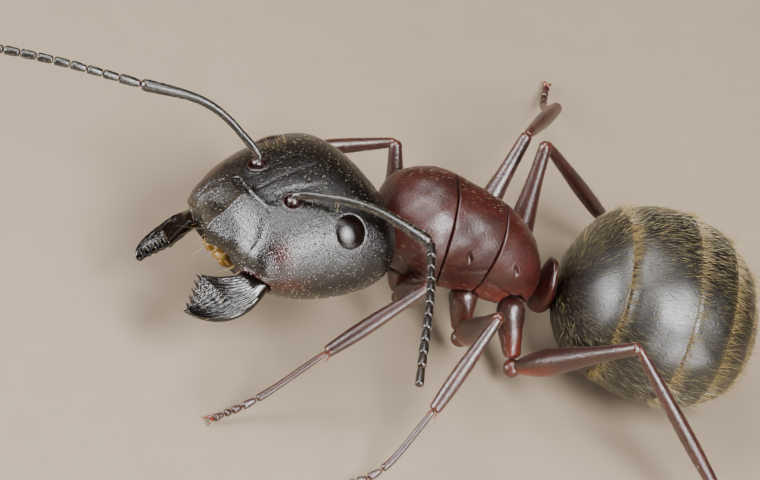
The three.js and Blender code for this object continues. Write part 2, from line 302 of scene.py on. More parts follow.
def tube(spots, radii, rows=40, around=18, start=0.0, end=1.0, roundStart=1.0, roundEnd=1.0, flat=1.0):
    # a limb with round ends along a curve, between two shares of its length; radii are evenly spaced along it
    u = (1 - np.cos(np.linspace(0.03, 0.97, rows) * math.pi)) / 2
    u = (u - u[0]) / (u[-1] - u[0])
    place, heading, length = curveThrough(spots, start + (end - start) * u)
    radius = along(radii, u)[:, 0]
    gone = u * length * (end - start)
    left = length * (end - start) - gone
    for gap, rounding in ((gone, roundStart), (left, roundEnd)):
        if rounding > 0:
            cap = np.clip(gap / (radius * rounding), 0, 1)
            radius = radius * np.sqrt(np.clip(1 - (1 - cap) ** 2, 0.004, 1))
    side = np.cross(heading, (0, 0, 1.0))
    side[np.linalg.norm(side, axis=1) < 1e-3] = (1, 0, 0)
    side /= np.linalg.norm(side, axis=1, keepdims=True)
    over = np.cross(side, heading)
    wide, high = np.cos(allRound(around)), np.sin(allRound(around))
    spread = wide[None, :, None] * side[:, None] + flat * high[None, :, None] * over[:, None]
    return {"rings": place[:, None] + spread * radius[:, None, None], "u": np.repeat(u[:, None], around, 1),
            "lower": -high[None, :].repeat(rows, 0)}


def marked(grid, **marks):
    # marks steer a finish or a coat: tinge mixes in the finish's third colour, amount is the hairs' share
    return {**grid, "marks": marks}


def placed(grid, turn, place):
    return {**grid, "rings": grid["rings"] @ turn.T + np.array(place)}


# Meshes from rings of points, and the pieces made of them.

def buildMesh(name, grids):
    # every grid of rings is closed round and capped at both ends, faces out and has a strip of the unwrap
    margin = 0.02
    points, faces, uvs, marks, start = [], [], [], {}, 0
    for cell, grid in enumerate(grids):
        rings = grid["rings"]
        rows, across = rings.shape[:2]
        row, col = np.repeat(np.arange(rows - 1), across), np.tile(np.arange(across), rows - 1)
        after = (col + 1) % across
        quads = np.stack([row * across + col, row * across + after, (row + 1) * across + after,
                          (row + 1) * across + col], -1)
        u = np.stack([col, col + 1, col + 1, col], -1) / across
        v = np.stack([row, row, row + 1, row + 1], -1) / (rows - 1)
        v = (cell + margin + (1 - 2 * margin) * v) / len(grids)
        rim = np.arange(across)
        near, far, last = rows * across, rows * across + 1, (rows - 1) * across
        caps = np.concatenate([
            np.stack([(rim + 1) % across, rim, np.full(across, near)], -1),
            np.stack([last + rim, last + (rim + 1) % across, np.full(across, far)], -1)])
        capU = np.stack([rim + 1, rim, rim + 0.5], -1)
        capU = np.concatenate([capU, capU[:, [1, 0, 2]]]) / across
        capV = (cell + np.repeat([margin, 1 - margin], across)[:, None].repeat(3, 1)) / len(grids)
        spots = np.vstack([rings.reshape(-1, 3), rings[0].mean(0), rings[-1].mean(0)])
        a, b, c, d = ((spots - spots.mean(0))[quads[:, k]] for k in range(4))
        volume = np.sum(a * np.cross(b, c)) + np.sum(a * np.cross(c, d))
        if volume < 0:
            quads, caps, u, v, capU = (part[:, ::-1] for part in (quads, caps, u, v, capU))
        points.append(spots)
        faces += (quads + start).tolist() + (caps + start).tolist()
        uvs += [np.stack([u, v], -1).reshape(-1, 2), np.stack([capU, capV], -1).reshape(-1, 2)]
        # hairs lie towards the last ring, or with a comb of -1 towards the first
        lie = np.gradient(rings, axis=0) * grid.get("comb", 1)
        lie /= np.linalg.norm(lie, axis=-1, keepdims=True) + 1e-9
        for key, value in {"tinge": 0.0, "amount": 1.0, **grid.get("marks", {}), "lie": lie}.items():
            value = np.broadcast_to(value, rings.shape if key == "lie" else rings.shape[:2])
            ends = [value[end].reshape(across, -1).mean(0) for end in (0, -1)]
            marks.setdefault(key, []).append(np.vstack([value.reshape(rows * across, -1), *ends]))
        start += len(spots)
    mesh = bpy.data.meshes.new(name)
    mesh.from_pydata(toFrame(np.vstack(points)).tolist(), [], faces)
    mesh.polygons.foreach_set("use_smooth", np.ones(len(faces), bool))
    mesh.uv_layers.new(name="skinUv").uv.foreach_set("vector", np.vstack(uvs).ravel())
    for key, value in marks.items():
        value = np.vstack(value)
        kind = "FLOAT" if value.shape[1] == 1 else "FLOAT_VECTOR"
        layer = mesh.attributes.new(key, kind, "POINT")
        layer.data.foreach_set("value" if kind == "FLOAT" else "vector", value.ravel())
    mesh.update()
    return mesh


def addPiece(name, mesh, material, nodes=()):
    piece = link(name + "_surface" if nodes else name, mesh)
    mesh.materials.clear()
    mesh.materials.append(material)
    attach(piece, "root")
    if nodes:
        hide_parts(*nodes)


def addSkin(name, grids, material):
    # a piece that takes the place of the solid with its name
    addPiece(name, buildMesh(name, grids), material, [name])


# Finishes. Sizes of clouds, grain and pits are in millimetres. The pits' colour is painted shade in their
# dents.
chitinIor = 1.56
plain = {"clouds": 0.7, "grain": 0.05, "grainDepth": 0.004, "pits": 0.16, "pitShare": 0.3, "pitDepth": 0.006,
         "roughness": (0.3, 0.42), "shine": 0.5, "sheen": 0, "sheenTint": "#ffffff", "sheenRoughness": 0.45,
         "glow": 0, "glowDepth": 0.1, "glowRadii": (1, 0.3, 0.15), "pitShade": "#050404"}


def addMaterial(name):
    material = bpy.data.materials.new(name)
    material.use_nodes = True
    return material, partial(addNode, material.node_tree), material.node_tree.nodes["Principled BSDF"]


def addCuticle(name, changes):
    look = {**plain, **changes}
    material, add, surface = addMaterial(name)
    spot = add("ShaderNodeVectorMath", {"Vector": add("ShaderNodeTexCoord")["Object"], "Scale": 1000},
               operation="SCALE")[0]
    clouds = add("ShaderNodeTexNoise", {"Vector": spot, "Scale": 1 / look["clouds"], "Detail": 4,
                                        "Roughness": 0.6})["Fac"]
    grain = add("ShaderNodeTexNoise", {"Vector": spot, "Scale": 1 / look["grain"], "Detail": 3,
                                       "Roughness": 0.65})["Fac"]
    cells = add("ShaderNodeTexVoronoi", {"Vector": spot, "Scale": 1 / look["pits"], "Randomness": 0.85},
                feature="F1")["Distance"]
    pit = add("ShaderNodeMapRange", {"Value": cells, "From Max": look["pitShare"]},
              interpolation_type="SMOOTHSTEP")[0]
    tinge = add("ShaderNodeAttribute", attribute_name="tinge")["Fac"]
    cloudy = add("ShaderNodeMapRange", {"Value": clouds, "From Min": 0.35, "From Max": 0.65})[0]
    colour = hexColour(look["dark"])
    for share, over in ((cloudy, look["light"]), (tinge, look["tinge"])):
        colour = add("ShaderNodeMix", {0: share, 6: colour, 7: hexColour(over)}, data_type="RGBA")[2]
    # the dents of the pits take the pits' colour: painted shade
    colour = add("ShaderNodeMix", {0: pit, 6: hexColour(look["pitShade"]), 7: colour}, data_type="RGBA")[2]
    low, high = look["roughness"]
    rough = add("ShaderNodeMapRange", {"Value": grain, "From Min": 0.3, "From Max": 0.7, "To Min": low,
                                       "To Max": high})[0]
    pitted = add("ShaderNodeBump", {"Strength": 1, "Distance": look["pitDepth"] / 1000, "Height": pit})[0]
    etched = add("ShaderNodeBump", {"Strength": 1, "Distance": look["grainDepth"] / 1000, "Height": grain,
                                    "Normal": pitted})[0]
    fill(surface, {
        "Base Color": colour, "Roughness": rough, "Normal": etched, "IOR": chitinIor,
        "Specular IOR Level": look["shine"], "Sheen Weight": look["sheen"],
        "Sheen Roughness": look["sheenRoughness"], "Sheen Tint": hexColour(look["sheenTint"]),
        "Subsurface Weight": look["glow"], "Subsurface Radius": look["glowRadii"],
        "Subsurface Scale": look["glowDepth"] / 1000})
    return material


# Head: hard black cuticle, finely etched in cells, which spreads a lamp's light to a silver satin.
headCuticle = addCuticle("blackEtchedCuticle", {
    "dark": "#030202", "light": "#070504", "tinge": "#3f0f0c", "grain": 0.045, "grainDepth": 0.016,
    "pits": 0.11, "pitShare": 0.22, "pitDepth": 0.01, "roughness": (0.17, 0.26), "shine": 0.75})
# Mandibles: the thickest, glossiest cuticle, near black with brown at the edges.
mandibleCuticle = addCuticle("polishedBlackCuticle", {
    "dark": "#060302", "light": "#0e0704", "tinge": "#1a0a05", "grain": 0.06, "grainDepth": 0.002,
    "pits": 0.09, "pitDepth": 0.001, "roughness": (0.16, 0.22), "shine": 0.6})
# Trunk: thinner red-brown cuticle, which lets some light through; the orange low on the sides is painted glow
# of that light.
trunkCuticle = addCuticle("maroonCuticle", {
    "dark": "#240602", "light": "#380c07", "tinge": "#5e1804", "pitShade": "#1c0705", "pitDepth": 0.003,
    "grain": 0.05, "grainDepth": 0.007, "roughness": (0.34, 0.44), "shine": 0.62, "sheen": 0.02,
    "sheenTint": "#e0b0b8", "glow": 0.06})
# Legs: red-brown cuticle, smooth and satin, paler where the thigh starts; that paler orange on the under
# sides of the thigh and the hip is painted glow.
legCuticle = addCuticle("redBrownCuticle", {
    "dark": "#220a06", "light": "#35120d", "tinge": "#862c00", "pitShade": "#160705", "clouds": 0.5,
    "pitDepth": 0.003, "grain": 0.05, "grainDepth": 0.008, "roughness": (0.28, 0.38), "shine": 0.9,
    "sheen": 0.05, "sheenTint": "#dfb6bc", "glow": 0.05})
# Gaster: black cuticle with a dull gloss, thin and straw-coloured along each ring's hind edge.
gasterCuticle = addCuticle("blackSatinCuticle", {
    "dark": "#060504", "light": "#0d0a07", "tinge": "#3a301a", "grain": 0.04, "grainDepth": 0.005,
    "pits": 0.14, "pitDepth": 0.003, "roughness": (0.32, 0.42), "shine": 0.75})
# Feelers: black-brown cuticle, dense with tiny sense pits.
feelerCuticle = addCuticle("blackBrownCuticle", {
    "dark": "#070403", "light": "#0f0906", "tinge": "#3a1a10", "grain": 0.035, "grainDepth": 0.006,
    "pits": 0.05, "pitDepth": 0.004, "roughness": (0.26, 0.34), "shine": 0.95})
# Mouthparts: soft, thin amber cuticle that glows when lit.
mouthCuticle = addCuticle("amberCuticle", {
    "dark": "#664509", "light": "#a8821c", "tinge": "#3a1c07", "pitShade": "#4d2b06", "grain": 0.05,
    "grainDepth": 0.004, "roughness": (0.4, 0.55), "shine": 0.45, "glow": 0.3})
# Eyes: smooth clear lenses over dark brown, with a polished gloss.
eyeCuticle = addCuticle("lensCuticle", {
    "dark": "#080302", "light": "#130705", "tinge": "#130705", "clouds": 0.4, "grain": 0.04,
    "grainDepth": 0.001, "pitDepth": 0.0005, "roughness": (0.11, 0.14), "shine": 0.42})


def addHairFinish(name, dark, light):
    # hair is a horny thread, satin all over, and each one is of its own shade
    material, add, surface = addMaterial(name)
    shade = add("ShaderNodeAttribute", attribute_name="shade")["Fac"]
    colour = add("ShaderNodeMix", {0: shade, 6: hexColour(dark), 7: hexColour(light)}, data_type="RGBA")[2]
    fill(surface, {"Base Color": colour, "Roughness": 0.38, "Sheen Weight": 0.1})
    return material


goldHair = addHairFinish("goldenHair", "#453a1f", "#9c844d")
oliveHair = addHairFinish("oliveHair", "#332c14", "#8f8154")
paleHair = addHairFinish("paleHair", "#6b624c", "#c2b99c")
brownHair = addHairFinish("brownHair", "#2c1c12", "#7a6048")
print("finishes are mixed")


# Hairs: thin tapered threads, set over a skin at random or one on each given root. Lift and Untidy are
# shares of a unit of heading, Uneven and Bend are shares of the hair's length.
hairSizes = {"Per Square Mm": 100.0, "Length Mm": 0.12, "Width Mm": 0.01, "Lift": 0.15, "Untidy": 0.2,
             "Uneven": 0.3, "Bend": 0.1, "Seed": 1}
thread = {"Vertices": 3, "Side Segments": 3, "Radius Top": 0.08, "Radius Bottom": 0.5, "Depth": 1.0}
patchSide = 0.003


def addTree(name, sockets):
    tree = bpy.data.node_groups.new(name, "GeometryNodeTree")
    for label, kind in {"Skin": "Geometry", **sockets, "Finish": "Material"}.items():
        tree.interface.new_socket(label, in_out="INPUT", socket_type="NodeSocket" + kind)
    tree.interface.new_socket("Made", in_out="OUTPUT", socket_type="NodeSocketGeometry")
    add = partial(addNode, tree)
    return tree, add, add("NodeGroupInput")


def buildHairTree(name, scattered):
    tree, add, given = addTree(name, {key: "Int" if key == "Seed" else "Float" for key in hairSizes})
    maths, vectorMaths, store = "ShaderNodeMath", "ShaderNodeVectorMath", "GeometryNodeStoreNamedAttribute"
    random, align = "FunctionNodeRandomValue", "FunctionNodeAlignRotationToVector"
    lie, over, rootUv, patch = (
        add("GeometryNodeInputNamedAttribute", {"Name": key}, data_type="FLOAT_VECTOR")[0]
        for key in ("lie", "over", "skinUv", "patch"))
    if scattered:
        amount = add("GeometryNodeInputNamedAttribute", {"Name": "amount"}, data_type="FLOAT")[0]
        perMetre = add(maths, {0: given["Per Square Mm"], 1: 1e6}, operation="MULTIPLY")[0]
        density = add(maths, {0: perMetre, 1: amount}, operation="MULTIPLY")[0]
        spread = add("GeometryNodeDistributePointsOnFaces",
                     {"Mesh": given["Skin"], "Density": density, "Seed": given["Seed"]},
                     distribute_method="RANDOM")
        roots = add(store, {"Geometry": spread["Points"], "Name": "over", "Value": spread["Normal"]},
                    data_type="FLOAT_VECTOR", domain="POINT")[0]
    else:
        roots = add("GeometryNodeMeshToPoints", {"Mesh": given["Skin"]})[0]
    shade = add(random, {2: 0.0, 3: 1.0, "Seed": 7}, data_type="FLOAT")[1]
    roots = add(store, {"Geometry": roots, "Name": "shade", "Value": shade},
                data_type="FLOAT", domain="POINT")[0]
    # the way a hair points
    aside = add(random, {0: (-1, -1, -1), 1: (1, 1, 1), "Seed": given["Seed"]}, data_type="FLOAT_VECTOR")[0]
    heading = lie
    for push, share in ((over, given["Lift"]), (aside, given["Untidy"])):
        push = add(vectorMaths, {"Vector": push, "Scale": share}, operation="SCALE")[0]
        heading = add(vectorMaths, {0: heading, 1: push}, operation="ADD")[0]
    turn = add(align, {"Vector": heading}, axis="Z")[0]
    turn = add(align, {"Rotation": turn, "Vector": over}, axis="X", pivot_axis="Z")[0]
    # its size
    least = add(maths, {0: 1.0, 1: given["Uneven"]}, operation="SUBTRACT")[0]
    most = add(maths, {0: 1.0, 1: given["Uneven"]}, operation="ADD")[0]
    share = add(random, {2: least, 3: most, "Seed": 3}, data_type="FLOAT")[1]
    long = add(maths, {0: given["Length Mm"], 1: share}, operation="MULTIPLY")[0]
    size = add("ShaderNodeCombineXYZ", {"X": given["Width Mm"], "Y": given["Width Mm"], "Z": long})[0]
    size = add(vectorMaths, {"Vector": size, "Scale": 0.001}, operation="SCALE")[0]
    # one straight thread, bent by its height squared; the width scales the bend, so it is divided out
    straight = add("GeometryNodeMeshCone", thread)
    height = add("ShaderNodeSeparateXYZ", {"Vector": add("GeometryNodeInputPosition")[0]})["Z"]
    square = add(maths, {0: height, 1: height}, operation="MULTIPLY")[0]
    slender = add(maths, {0: given["Length Mm"], 1: given["Width Mm"]}, operation="DIVIDE")[0]
    drop = add(maths, {0: given["Bend"], 1: slender}, operation="MULTIPLY")[0]
    for factor in (square, -1.0):
        drop = add(maths, {0: drop, 1: factor}, operation="MULTIPLY")[0]
    curved = add(store, {"Geometry": straight["Mesh"], "Name": "patch", "Value": straight["UV Map"]},
                 data_type="FLOAT2", domain="CORNER")[0]
    curved = add("GeometryNodeSetPosition",
                 {"Geometry": curved, "Offset": add("ShaderNodeCombineXYZ", {"X": drop})[0]})[0]
    hairs = add("GeometryNodeInstanceOnPoints",
                {"Points": roots, "Instance": curved, "Rotation": turn, "Scale": size})[0]
    hairs = add("GeometryNodeRealizeInstances", {"Geometry": hairs})[0]
    # each hair's patch for baking lies at its root's place on the skin's unwrap
    patch = add(vectorMaths, {"Vector": patch, "Scale": patchSide}, operation="SCALE")[0]
    patch = add(vectorMaths, {0: patch, 1: rootUv}, operation="ADD")[0]
    hairs = add(store, {"Geometry": hairs, "Name": "OFBake", "Value": patch},
                data_type="FLOAT2", domain="CORNER")[0]
    hairs = add("GeometryNodeSetMaterial", {"Geometry": hairs, "Material": given["Finish"]})[0]
    add("NodeGroupOutput", {"Made": hairs})
    return tree


scatterTree = buildHairTree("scatteredHairs", True)
rootTree = buildHairTree("rootedHairs", False)


def bakeNodes(name, mesh, tree, settings):
    # runs a node tree over a mesh and gives back the plain mesh that comes out
    holder = link(name, mesh)
    modifier = holder.modifiers.new("made", "NODES")
    modifier.node_group = tree
    for item in tree.interface.items_tree:
        if item.in_out == "INPUT" and item.name in settings:
            modifier[item.identifier] = settings[item.name]
    graph = bpy.context.evaluated_depsgraph_get()
    made = bpy.data.meshes.new_from_object(holder.evaluated_get(graph), preserve_all_data_layers=True,
                                           depsgraph=graph)
    holder.modifiers.remove(modifier)
    bpy.data.objects.remove(holder)
    return made


def addHairs(name, mesh, tree, hair, material):
    made = bakeNodes(name + "_roots", mesh, tree, {**hairSizes, **hair, "Finish": material})
    made.name = name
    for spare in ("patch", "skinUv", "lie", "over", "amount", "tinge", "UVMap"):
        layer = made.attributes.get(spare)
        if layer is not None:
            made.attributes.remove(layer)
    addPiece(name, made, material)
    print(name, len(made.polygons), "faces")


def addCoat(name, grids, hair, material):
    addHairs(name, buildMesh(name + "_skin", grids), scatterTree, hair, material)


def addRooted(name, roots, hair, material):
    # a root is its place, the way its hair lies, the way out of the skin and its place on the unwrap
    mesh = bpy.data.meshes.new(name + "_roots")
    places, lies, overs, uvs = (np.array(part, float) for part in zip(*roots))
    uvs = np.column_stack([uvs, np.zeros(len(uvs))])
    mesh.from_pydata(toFrame(places).tolist(), [], [])
    for key, values in (("lie", lies), ("over", overs), ("skinUv", uvs)):
        mesh.attributes.new(key, "FLOAT_VECTOR", "POINT").data.foreach_set("vector", values.ravel())
    addHairs(name, mesh, rootTree, hair, material)


# Head: one hard capsule, with the clypeus's keeled plate in front, a deep socket for each feeler and a pit
# for each jaw. Ridges are a height and a width, in millimetres as all sizes are, and grooves are less than 0.
head = {
    "place": (1.58, -1.17, 2.62),
    "front": 1.85,
    "back": -1.85,
    "squareness": 2.3,
    "rows": [[0, 0.05, 0.05], [1.25, 0.58, -0.44], [1.595, 1.02, -0.83], [1.8, 1.29, -1.14],
             [1.96, 1.435, -1.3], [2.04, 1.465, -1.29], [1.96, 1.29, -1.12], [1.44, 0.875, -0.75],
             [0, 0.12, 0.12]],
    "detail": (300, 318),  # rings, and points round each
    "faceDetail": 0.4,     # how much closer together those points stand on the face
    "clypeus": {"centre": (1.38, 0, 0.3), "radii": (0.62, 0.92, 0.42), "sharpness": 14},
    "clypeusEdge": [(1.19, 0), (1.16, 0.32), (1.11, 0.6), (1.23, 0.72), (1.36, 0.82), (1.48, 0.93),
                    (1.61, 1.0)],
    "clypeusStep": 0.016,
    "keel": {"height": 0.16, "width": 0.28},
    "backBorder": (0.05, 0.12),
    "sideGroove": (-0.014, 0.08),
    "carina": [(0.95, 0.36), (0.8, 0.3), (0.55, 0.3), (0.3, 0.36), (0.1, 0.44), (-0.15, 0.47), (-0.4, 0.46)],
    "carinaRidge": (0.014, 0.014),
    "carinaDrop": (-0.03, 0.22),
    "midline": (-0.015, 0.025),
    "socket": {"spot": (0.6, 0.68, 1.24), "radius": 0.2, "rim": (0.022, 0.022), "depth": 0.13,
               "dish": (-0.045, 0.36), "outerRadius": 0.3, "outerRim": (0.01, 0.02)},
    "jawPit": {"spot": (1.5, 1.176, -0.3), "radii": (0.36, 0.34, 0.36), "rimRadius": 0.39,
               "rim": (0.02, 0.03)},
    "mouth": {"centre": (1.62, 0, -0.34), "radii": (0.62, 0.76, 0.46)},
    "eye": {"centre": (-0.315, 1.602, 0.874), "radii": (0.4, 0.15, 0.38), "lean": 45, "yaw": -8,
            "groove": (-0.014, 0.03), "depth": 0.08},
    "mounds": [
        (-0.03, (1.1, 0.64, 1.1), (0.07, 0.07, 0.3)),  # the pit at the clypeus's back corner
        (-0.02, (1.04, 0.95, 1.0), (0.1, 0.22, 0.3)),  # the dent beside it
        (-0.03, (1.25, 1.45, 0.3), (0.3, 0.3, 0.25)),  # the hollow of the cheek
        (0.03, (1.66, 1.1, 0.35), (0.16, 0.22, 0.2))],  # the swelling over the jaw
    "frontDip": (-0.05, (1.6, 0, 0.6), (0.5, 2, 0.6)),
    "ripples": [(0.003, 0.6, 3), (0.001, 0.14, 4)],
    "redCheeks": [(0.7, (1.16, 1.5, 0.55), (0.26, 0.26, 0.3)), (0.8, (1.05, 1.66, -0.19), (0.34, 0.3, 0.25))],
    "redEdges": {"jawPit": (0.36, 0.6, 0.07), "socket": (0.16, 0.5, 0.05)},  # radius, strength and width
}
headTurn = turned(31, -0.6, 14.4)


def onHead(spot):
    # from the head's own frame to the ant's
    return np.asarray(spot) @ headTurn.T + np.array(head["place"])


def eyeTurn(side):
    eye = head["eye"]
    turn = Matrix.Rotation(math.radians(side * eye["yaw"]), 3, "Z")
    return np.array(turn @ Matrix.Rotation(math.radians(side * eye["lean"]), 3, "X"))


def eyeGap(points, side):
    # 1 on the eye's surface, less inside and more outside
    eye = head["eye"]
    local = (points - sided(eye["centre"], side)) @ eyeTurn(side)
    return np.linalg.norm(local / np.array(eye["radii"]), axis=-1)


def clypeusInside(points):
    # how far inside the clypeus's plate a point is, less than 0 outside
    edge = np.array(head["clypeusEdge"])
    wide = np.abs(points[..., 1])
    back = np.interp(wide, edge[:3, 1], edge[:3, 0])
    side = np.interp(points[..., 0], edge[2:, 0], edge[2:, 1])
    return np.where(points[..., 2] > -0.1, np.minimum(points[..., 0] - back, side - wide), -1)


def sideHeight(rings, side, inside):
    # the relief that one half of the face carries, above the level of the jaws
    local = rings * (1, side, 1)
    backEdge, sideEdge = head["clypeusEdge"][:3], head["clypeusEdge"][2:]
    height = ridge(lineGap(local, backEdge), *head["backBorder"]) * smoothStep(-inside, -0.014, 0.014)
    height += ridge(lineGap(local, sideEdge), *head["sideGroove"])
    gap = lineGap(local, head["carina"])
    carina = np.array(head["carina"])[::-1]
    inner = local[..., 1] - np.interp(local[..., 0], *carina.T)
    drop = ridge(gap, *head["carinaDrop"]) * smoothStep(inner, -0.02, 0.07)
    height += (ridge(gap, *head["carinaRidge"]) + drop) * smoothStep(local[..., 0], -0.35, 0.15)
    socket = head["socket"]
    gap = lineGap(local, [socket["spot"][:2]] * 2)
    height += ridge(gap - socket["radius"], *socket["rim"]) + ridge(gap, *socket["dish"])
    height -= socket["depth"] * smoothStep(-gap, -0.18, -0.13)
    height += ridge(gap - socket["outerRadius"], *socket["outerRim"]) * smoothStep(local[..., 0], 0.6, 0.8)
    return height


def shapeHead():
    rows, around = head["detail"]
    t = np.linspace(-0.5, 0.5, around, endpoint=False)
    angle = math.pi / 2 + 2 * math.pi * t - head["faceDetail"] * np.sin(2 * math.pi * t)
    share, angle = np.meshgrid(np.linspace(0.012, 0.988, rows), angle, indexing="ij")
    rings = lobe(head, share, angle)
    # the clypeus is an ellipsoid that swells out of the capsule's front
    clypeus = head["clypeus"]
    out = (rings - clypeus["centre"]) / clypeus["radii"]
    far = np.linalg.norm(out, axis=-1, keepdims=True)
    out = out / far * (far ** clypeus["sharpness"] + 1) ** (1 / clypeus["sharpness"])
    isFront = (rings[..., :1] > 0.4) & (rings[..., 2:] > -0.6)
    rings = np.where(isFront, out * clypeus["radii"] + clypeus["centre"], rings)
    x, y, z = np.moveaxis(rings, -1, 0)
    wide, top = np.abs(y), z > 0
    inside = clypeusInside(rings)
    height = (head["clypeusStep"] * smoothStep(inside, -0.01, 0.04) + mound(rings, *head["frontDip"])) * top
    height += head["keel"]["height"] * np.exp(-wide / head["keel"]["width"]) * smoothStep(x, 1.1, 1.35) * top
    height += ridge(wide, *head["midline"]) * top * smoothStep(x, -0.6, -0.2) * smoothStep(-x, -1.2, -1.1)
    for side in (1, -1):
        height += sideHeight(rings, side, inside) * top
        height += sum(mound(rings * (1, side, 1), *dent) for dent in head["mounds"])
        gap = eyeGap(rings, side)
        height += ridge(gap - 1.01, *head["eye"]["groove"])
        height -= head["eye"]["depth"] * smoothStep(-gap, -0.99, -0.88)
    height += sum(ripples(rings, *lumps) for lumps in head["ripples"])
    rings = raised(rings, height)
    pit = head["jawPit"]
    for side in (1, -1):
        rings = carved(rings, sided(pit["spot"], side), pit["radii"])
        gap = np.linalg.norm(rings - sided(pit["spot"], side), axis=-1)
        rings = raised(rings, ridge(gap - pit["rimRadius"], *pit["rim"]))
    rings = carved(rings, head["mouth"]["centre"], head["mouth"]["radii"])
    # red-brown where the cuticle is thin, and the down's share
    x, y, z = np.moveaxis(rings, -1, 0)
    tinge = 0.0
    amount = np.clip(smoothStep(-z, -0.75, -0.1) + smoothStep(-x, -0.7, -0.3) * (wide < 1.2) * 0.8
                     + 0.3 * smoothStep(clypeusInside(rings), -0.05, 0.05), 0.06, 1)
    for side in (1, -1):
        local = rings * (1, side, 1)
        tinge = tinge + sum(mound(local, *cheek) for cheek in head["redCheeks"])
        for key, (radius, *size) in head["redEdges"].items():
            gap = np.linalg.norm(local - np.array(head[key]["spot"]), axis=-1)
            tinge = tinge + ridge(gap - radius, *size)
        amount = amount * smoothStep(eyeGap(rings, side), 1.3, 1.5)
    grid = {"rings": rings, "comb": -1, "marks": {"tinge": np.clip(tinge, 0, 1), "amount": amount}}
    return placed(grid, headTurn, head["place"])


headGrid = shapeHead()
addSkin("head", [headGrid], headCuticle)
print("head is on")

# Eyes: a dome of six-sided lenses, each a little raised.
lens = {"Fineness": 5, "Lens Height": 0.004, "Lens Top": 0.86, "Finish": eyeCuticle}


def buildLensTree():
    tree, add, given = addTree("lenses", {"Fineness": "Int", "Lens Height": "Float", "Lens Top": "Float"})
    ball = add("GeometryNodeMeshIcoSphere", {"Radius": 1.0, "Subdivisions": given["Fineness"]})["Mesh"]
    cells = add("GeometryNodeDualMesh", {"Mesh": ball})[0]
    domes = add("GeometryNodeExtrudeMesh",
                {"Mesh": cells, "Offset Scale": given["Lens Height"], "Individual": True}, mode="FACES")
    tops = add("GeometryNodeScaleElements",
               {"Geometry": domes["Mesh"], "Selection": domes["Top"], "Scale": given["Lens Top"]},
               domain="FACE")[0]
    whole = add("GeometryNodeRealizeInstances", {"Geometry": tops})[0]
    whole = add("GeometryNodeSetMaterial", {"Geometry": whole, "Material": given["Finish"]})[0]
    add("NodeGroupOutput", {"Made": whole})
    return tree


lensTree = buildLensTree()
for sideName, side in (("left", 1), ("right", -1)):
    name = "eye_" + sideName
    eye = bakeNodes(name, bpy.data.meshes.new(name + "_seed"), lensTree, lens)
    eye.name = name
    spots = np.empty(len(eye.vertices) * 3)
    eye.vertices.foreach_get("co", spots)
    spots = spots.reshape(-1, 3) * head["eye"]["radii"] @ eyeTurn(side).T + sided(head["eye"]["centre"], side)
    eye.vertices.foreach_set("co", toFrame(onHead(spots)).ravel())
    eye.polygons.foreach_set("use_smooth", np.ones(len(eye.polygons), bool))
    eye.update()
    addPiece(name, eye, eyeCuticle, [name])
print("eyes are in")

# Mandibles: thick blades, ribbed lengthwise, with five teeth along the biting edge. Each edge is drawn on the
# blade's own plane, forward and inward from its hinge.
mandible = {
    "hinge": (1.4, 1.176, -0.3),
    "outer": [(0, -0.24), (0.5, -0.6), (1.35, -0.56), (1.74, 0.26)],
    "inner": [(0, 0.24), (0.3, 0.33), (0.75, 0.4), (1.1, 0.8)],
    "heelAt": 0.42,
    "roll": 35,
    "droop": 19,
    "open": 2,
    "curl": 0.16,
    "teeth": 5,
    "firstTooth": 0.05,
    "toothDepth": 0.15,
    "thickness": (0.24, 0.24, 0.2, 0.16, 0.1),
    "ribs": 12,
    "ribHeight": 0.028,
    "ribWaver": (0.07, 0.4, 5),
    "ribUneven": (0.2, 0.2, 6),
    "thinning": 0.35,
    "bluntness": 0.75,
    "detail": (150, 176),
}


def bezier(spots, t):
    a, b, c, d = (np.array(spot, float) for spot in spots)
    t = t[:, None]
    return (1 - t) ** 3 * a + 3 * (1 - t) ** 2 * t * b + 3 * (1 - t) * t * t * c + t ** 3 * d


